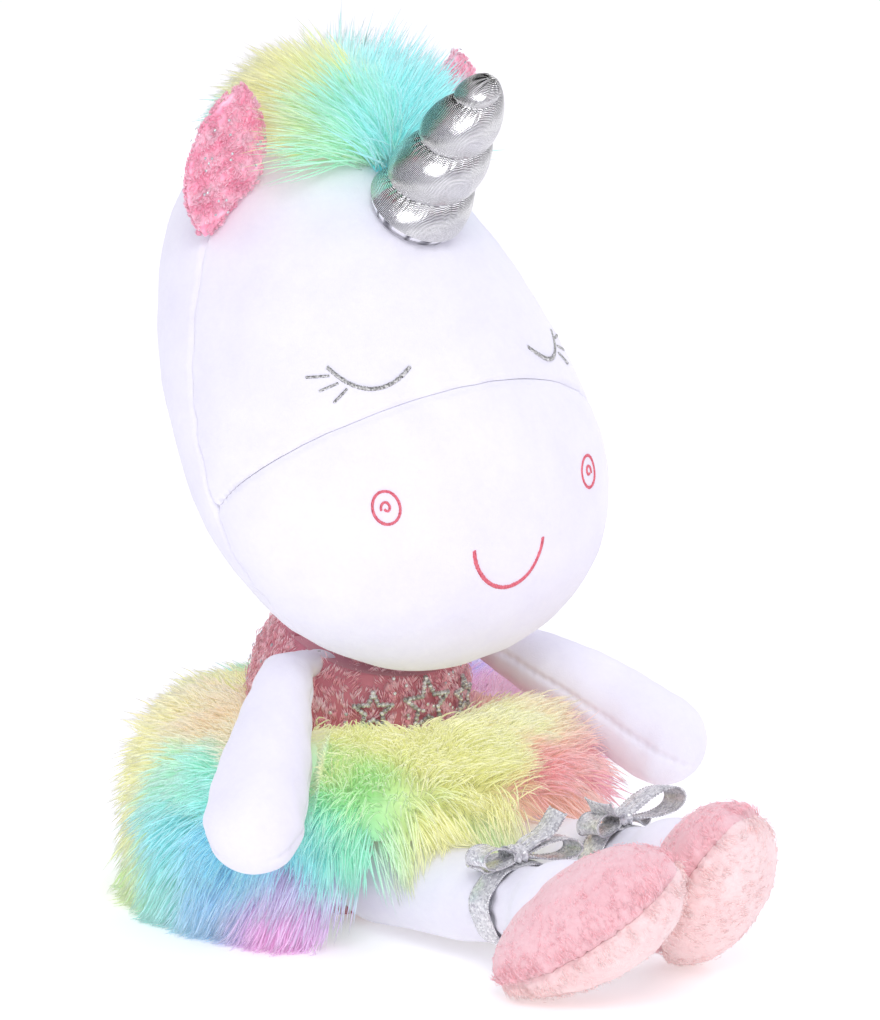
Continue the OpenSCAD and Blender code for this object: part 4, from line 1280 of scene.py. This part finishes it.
def minkyOnTorso():
    # short combed pile all over the torso above the skirt, swaying to both sides, with sequins in it
    random = np.random.default_rng(51)
    for start, word in ((-90, "front"), (90, "back")):
        spots, out, down, across, row = scatter(torsoGrid(start), torso["spots"], random)
        keep = (spots[:, 2] > 50) & (spots[:, 2] < 93)
        spots, out, across = spots[keep], out[keep], across[keep]
        out = out * np.sign((out * (spots * [1, 1, 0])).sum(1))[:, None]
        sway = (ripple(spots, 1.0, 8, 97) + ripple(spots, 0.8, 4, 98))[:, None]
        aims = unit(out * 0.7 + np.array([0, 0, -0.8]) + across * sway)
        length = torso["long"] * (1 + 0.15 * random.normal(size=len(spots)))
        paths = growLocks(spots, aims, length, -out * 0.9, torso["pile"], random)
        # strong painted shade at the roots of the torso pile, painted light at its tips
        dyes = dyeStrandsWithPaintedShade(paths, roseDyeWithPaintedShade, random, 0.75, 1.08)
        furPieces("torso_" + word + "_pile", paths, dyes, torso["fibre"], "torso",
                  1, minkyFibre)
        clear = np.flatnonzero(spots[:, 2] < 87)  # none where the head rubs
        chosen = random.permutation(clear)[:torso["sequins"]]
        discs = beads(spots[chosen] + out[chosen] * 2.1, torso["sequinR"], (out[chosen], 0.25))
        makePiece("torso_" + word + "_sequins", discs, sequinFoil, "torso")


minkyOnTorso()


def footPile():
    # short pile all over each foot but not inside the leg, longer by the seam as exp(-(gap/6)^2)
    # and combed away from it on both panels
    count, per = feet["spots"], feet["pile"]["perLock"]
    for side, word in sides:
        random = np.random.default_rng(65 + side)
        root, end, long = legLine(side, word)
        ahead, turn = random.uniform(-0.985, 0.985, count), random.uniform(0, 2 * np.pi, count)
        spots = footPoint(word, ahead, turn, 0.8)
        clear = np.linalg.norm(pushOut(spots, root, end, 20.0) - spots, axis=1) < 0.01
        ahead, turn, spots = ahead[clear], turn[clear], spots[clear]
        lap = (turn + np.pi / 2) % np.pi - np.pi / 2
        gap = np.abs(lap) * np.sqrt(1 - ahead ** 2) * feet["width"] / 2
        out = unit(footPoint(word, ahead, turn, -1.0) - spots)
        away = unit(footPoint(word, ahead, turn + np.sign(lap) * 0.02) - footPoint(word, ahead, turn))
        aims = unit(out * 0.4 + away + 0.3 * random.normal(size=spots.shape))
        length = (2.2 + 2.0 * np.exp(-(gap / 6) ** 2)) * (1 + 0.15 * random.normal(size=len(spots)))
        paths = growLocks(spots, aims, length, -out * 0.9, feet["pile"], random)
        upper = np.repeat(np.sin(turn) > 0, per)[:, None]
        dye = np.where(upper, linear(feet["upperDye"]), linear(feet["soleDye"]))
        dyes = dyeStrandsWithPaintedShade(paths, lambda points: dye, random, 0.98, 1.03)
        furPieces(word + "_foot_pile", paths, dyes, feet["fibre"], word + "_leg",
                  1, minkyFibre)


footPile()
print("short pile grown")


# Silver beads on the chest: a star between two smaller ones
stars = {"height": 68.5, "step": 18.0, "big": 8.5, "small": 6.0, "inner": 0.45, "bead": 0.95, "lift": 2.0}


def starPath(x, z, size, count):
    # corners alternate between size and inner size every 36 degrees; beads evenly along each edge
    k = np.arange(11)
    r = np.where(k % 2 == 0, size, size * stars["inner"])
    corners = np.stack([x + r * np.sin(k * 36 * degree), z + r * np.cos(k * 36 * degree)], -1)
    f = (np.arange(count) / count)[None, :, None]
    return mix(corners[:-1, None], corners[1:, None], f).reshape(-1, 2)


def makeStars():
    # the stars are laid flat, wrapped round the chest as an angle x / r, and follow its taper
    flat = np.concatenate([starPath(0, stars["height"], stars["big"], 4),
                           starPath(-stars["step"], stars["height"] - 0.5, stars["small"], 3),
                           starPath(stars["step"], stars["height"] - 0.5, stars["small"], 3)])
    t = flat[:, 0] / torso["chestR"]
    r = torso["chestR"] - 3 * np.maximum(flat[:, 1] - 72, 0) / 11 + stars["lift"]
    centres = np.stack([r * np.sin(t), -r * np.cos(t), flat[:, 1]], -1)
    makePiece("chest_star_beads", beads(centres, stars["bead"]), beadGlass, "torso",
              ["chest_beads"])


makeStars()
print("beads sewn on")


# Ribbons: glitter ribbon tied round each ankle, with a bow on top
ribbons = {
    "width": 10.0, "thick": 0.35, "bandR": 14.1, "knotUp": 2.0, "beadR": 0.42, "bandFlat": (0.010, 0.092),
    # loops: way, length, fatness and lift in degrees; tails: way, length, and how far ahead and up they end
    "right": {"loops": ((-1, 16.0, 4.0, 12.0), (1, 21.0, 4.5, 8.0)),
              "tails": ((1, 15.0, 3.0, 11.0), (-1, 13.0, -7.0, -4.0))},
    "left": {"loops": ((-1, 14.0, 4.0, 6.0), (1, 22.0, 5.5, 17.0)),
             "tails": ((1, 15.0, -7.0, -3.0), (-1, 12.0, 5.0, 6.0))},
}


def strip(path, across, pinch):
    # a ribbon along a path: its width lies along across, narrowed and pleated where pinch is 1
    along = unit(np.gradient(path, axis=0))
    across = unit(across - along * np.einsum("ij,ij->i", across, along)[:, None])
    out = np.cross(along, across)[:, None]
    v = np.linspace(-0.5, 0.5, 13)[None, :, None]
    pinch = pinch[:, None, None]
    pleat = 0.7 * pinch * np.sin(5 * np.pi * v) + 0.5 * (1 - pinch) * (4 * v * v - 0.5)
    grid = path[:, None] + across[:, None] * v * ribbons["width"] * (1 - 0.5 * pinch) + out * pleat
    half = out * ribbons["thick"] / 2
    return shell(grid + half, grid - half), np.concatenate([grid[:, 0], grid[:, -1]])


def runLength(path):
    # the summed distances between the stops of a path
    return np.linalg.norm(np.diff(path, axis=0), axis=1).sum()


def makeRibbon(side, word):
    # band: a hoop of radius bandR with slight waves, bowed outwards across its width
    root, end, long = legLine(side, word)
    along, across, up = axes(end - root)
    across = -across
    ankle = root + along * (long - legs["ankleBack"])
    t = np.linspace(0, 2 * np.pi, 121)[:-1]
    r = ribbons["bandR"] + 0.5 * np.sin(3 * t + side) + 0.3 * np.sin(7 * t)
    hoop = np.stack([r * np.cos(t), r * np.sin(t)], -1)
    ring = ankle + hoop[:, :1] * across + hoop[:, 1:] * up
    v = np.linspace(-0.5, 0.5, 13)[None, :, None]
    out = unit(ring - ankle)[:, None]
    wander = 0.6 * np.sin(2 * t)[:, None, None]
    grid = ring[:, None] + along * (v * ribbons["width"] + wander) + out * 0.6 * (0.5 - 4 * v * v)
    grid = np.swapaxes(grid, 0, 1)
    half = np.swapaxes(out * ribbons["thick"] / 2, 0, 1)
    skins = [grid + half, grid - half]
    for skin in skins:
        skin[..., 2] = np.maximum(skin[..., 2], 0.3)
    band = makePiece(word + "_ribbon_band_cloth", shell(*skins, True), ribbonCloth, word + "_leg",
                     [word + "_ribbon_band"])
    # the bow: loops from x = L (1 - cos a)/2, tails that curl, and a strip wrapped round as the knot
    knot = ankle + up * (ribbons["bandR"] + ribbons["knotUp"])
    parts, edges, cut = [], [], 0.0
    a = np.linspace(0, 2 * np.pi, 61)
    for way, size, fat, lift in ribbons[word]["loops"]:
        x = size * (1 - np.cos(a)) / 2
        z = fat * np.sin(a) * (0.5 - 0.5 * np.cos(a)) ** 0.6
        z = z + x * np.tan(lift * degree) - 2.5 * (x / size) ** 2
        path = knot + x[:, None] * way * across + z[:, None] * up + along * (x * 0.12)[:, None]
        piece, edge = strip(path, np.broadcast_to(along, path.shape), np.exp(-(x / 4.5) ** 2))
        parts.append(piece)
        edges.append(edge)
        cut += runLength(path)
    f = np.linspace(0, 1, 31)
    for way, size, ahead, lift in ribbons[word]["tails"]:
        path = (knot + way * across * (size * f)[:, None] + along * (ahead * f)[:, None]
                + up * (lift * f + 1.6 * np.sin(2.4 * np.pi * f) * f)[:, None])
        piece, edge = strip(path, np.broadcast_to(along, path.shape), np.exp(-(f / 0.25) ** 2))
        parts.append(piece)
        edges.append(edge)
        cut += runLength(path)
    a = np.linspace(-0.6, 2 * np.pi - 0.75, 41)
    path = knot + along * (3.9 * np.cos(a))[:, None] + up * (2.9 * np.sin(a))[:, None]
    piece, edge = strip(path, np.broadcast_to(across, path.shape), np.full(41, 0.75))
    parts.append(piece)
    cut += runLength(path)
    bow = makePiece(word + "_ribbon_bow_cloth", join(parts), ribbonCloth, word + "_leg",
                    [word + "_ribbon_bow"])
    spots = np.concatenate(edges + [grid[0], grid[-1]])
    hem = makePiece(word + "_ribbon_edge_beads", beads(spots, ribbons["beadR"]), sequinFoil,
                    word + "_leg")


for side, word in sides:
    makeRibbon(side, word)
print("ribbons tied")


# Floor and light
def makeFloor(side):
    # smooth pale paper, evenly lit, so it glows a little
    mesh = bpy.data.meshes.new("floor")
    mesh.from_pydata([(-side, -side, 0), (side, -side, 0), (side, side, 0), (-side, side, 0)], [],
                     [(0, 1, 2, 3)])
    material, tree = newMaterial("pale paper floor")
    place = addNode(tree, "ShaderNodeTexCoord")
    grain = addNode(tree, "ShaderNodeTexNoise", {"Scale": 90.0, "Detail": 3.0},
                    {"Vector": place.outputs["Object"]})
    tint = addNode(tree, "ShaderNodeMix", {"data_type": "RGBA", 6: linear("FCFBFB"), 7: linear("FAF8F8")},
                   {0: grain.outputs[0]})
    finishMaterial(tree, {"Roughness": 0.6, "Specular IOR Level": 0.3, "Emission Color": linear("FFFFFF"),
                          "Emission Strength": studio["floorGlow"]}, {"Base Color": tint.outputs[2]})
    mesh.materials.append(material)
    floor = bpy.data.objects.new("floor", mesh)
    scene.collection.objects.link(floor)


def makeRoom():
    # white behind the toy, lavender light all round, and for shiny things a ceiling that darkens
    # evenly with height
    world = bpy.data.worlds.new("studio")
    scene.world = world
    world.use_nodes = True
    room = world.node_tree
    room.nodes.clear()
    wall, dark, bright, dim = studio["ceiling"]
    colour, strength = studio["fill"]
    rays = addNode(room, "ShaderNodeLightPath")
    way = addNode(room, "ShaderNodeTexCoord")
    height = addNode(room, "ShaderNodeSeparateXYZ", links={0: way.outputs["Generated"]})
    ceiling = addNode(room, "ShaderNodeMapRange",
                      {"From Min": wall, "From Max": dark, "To Min": bright, "To Max": dim},
                      {"Value": height.outputs[2]})
    shiny = addNode(room, "ShaderNodeMix", {"data_type": "RGBA", 6: linear(colour)},
                    {0: rays.outputs["Is Glossy Ray"], 7: ceiling.outputs[0]})
    seen = addNode(room, "ShaderNodeMix", {"data_type": "RGBA", 7: linear("FFFFFF")},
                   {0: rays.outputs["Is Camera Ray"], 6: shiny.outputs[2]})
    level = addNode(room, "ShaderNodeMapRange", {"To Min": strength, "To Max": 1.0},
                    {"Value": rays.outputs["Is Camera Ray"]})
    back = addNode(room, "ShaderNodeBackground",
                   links={"Color": seen.outputs[2], "Strength": level.outputs[0]})
    addNode(room, "ShaderNodeOutputWorld", links={"Surface": back.outputs[0]})


def makeLamps():
    # round soft lamps, each turned to look at its aim
    for name, place, aim, size, power in studio["lamps"]:
        data = bpy.data.lights.new(name, "AREA")
        data.shape, data.size, data.energy, data.color = "DISK", size, power, (1, 1, 1)
        lamp = bpy.data.objects.new(name, data)
        scene.collection.objects.link(lamp)
        lamp.location = place
        lamp.rotation_mode = "QUATERNION"
        lamp.rotation_quaternion = (Vector(aim) - Vector(place)).to_track_quat("-Z", "Y")


makeFloor(studio["floorHalf"])
makeRoom()
makeLamps()
scene.view_settings.view_transform = "Standard"
print("studio lit")
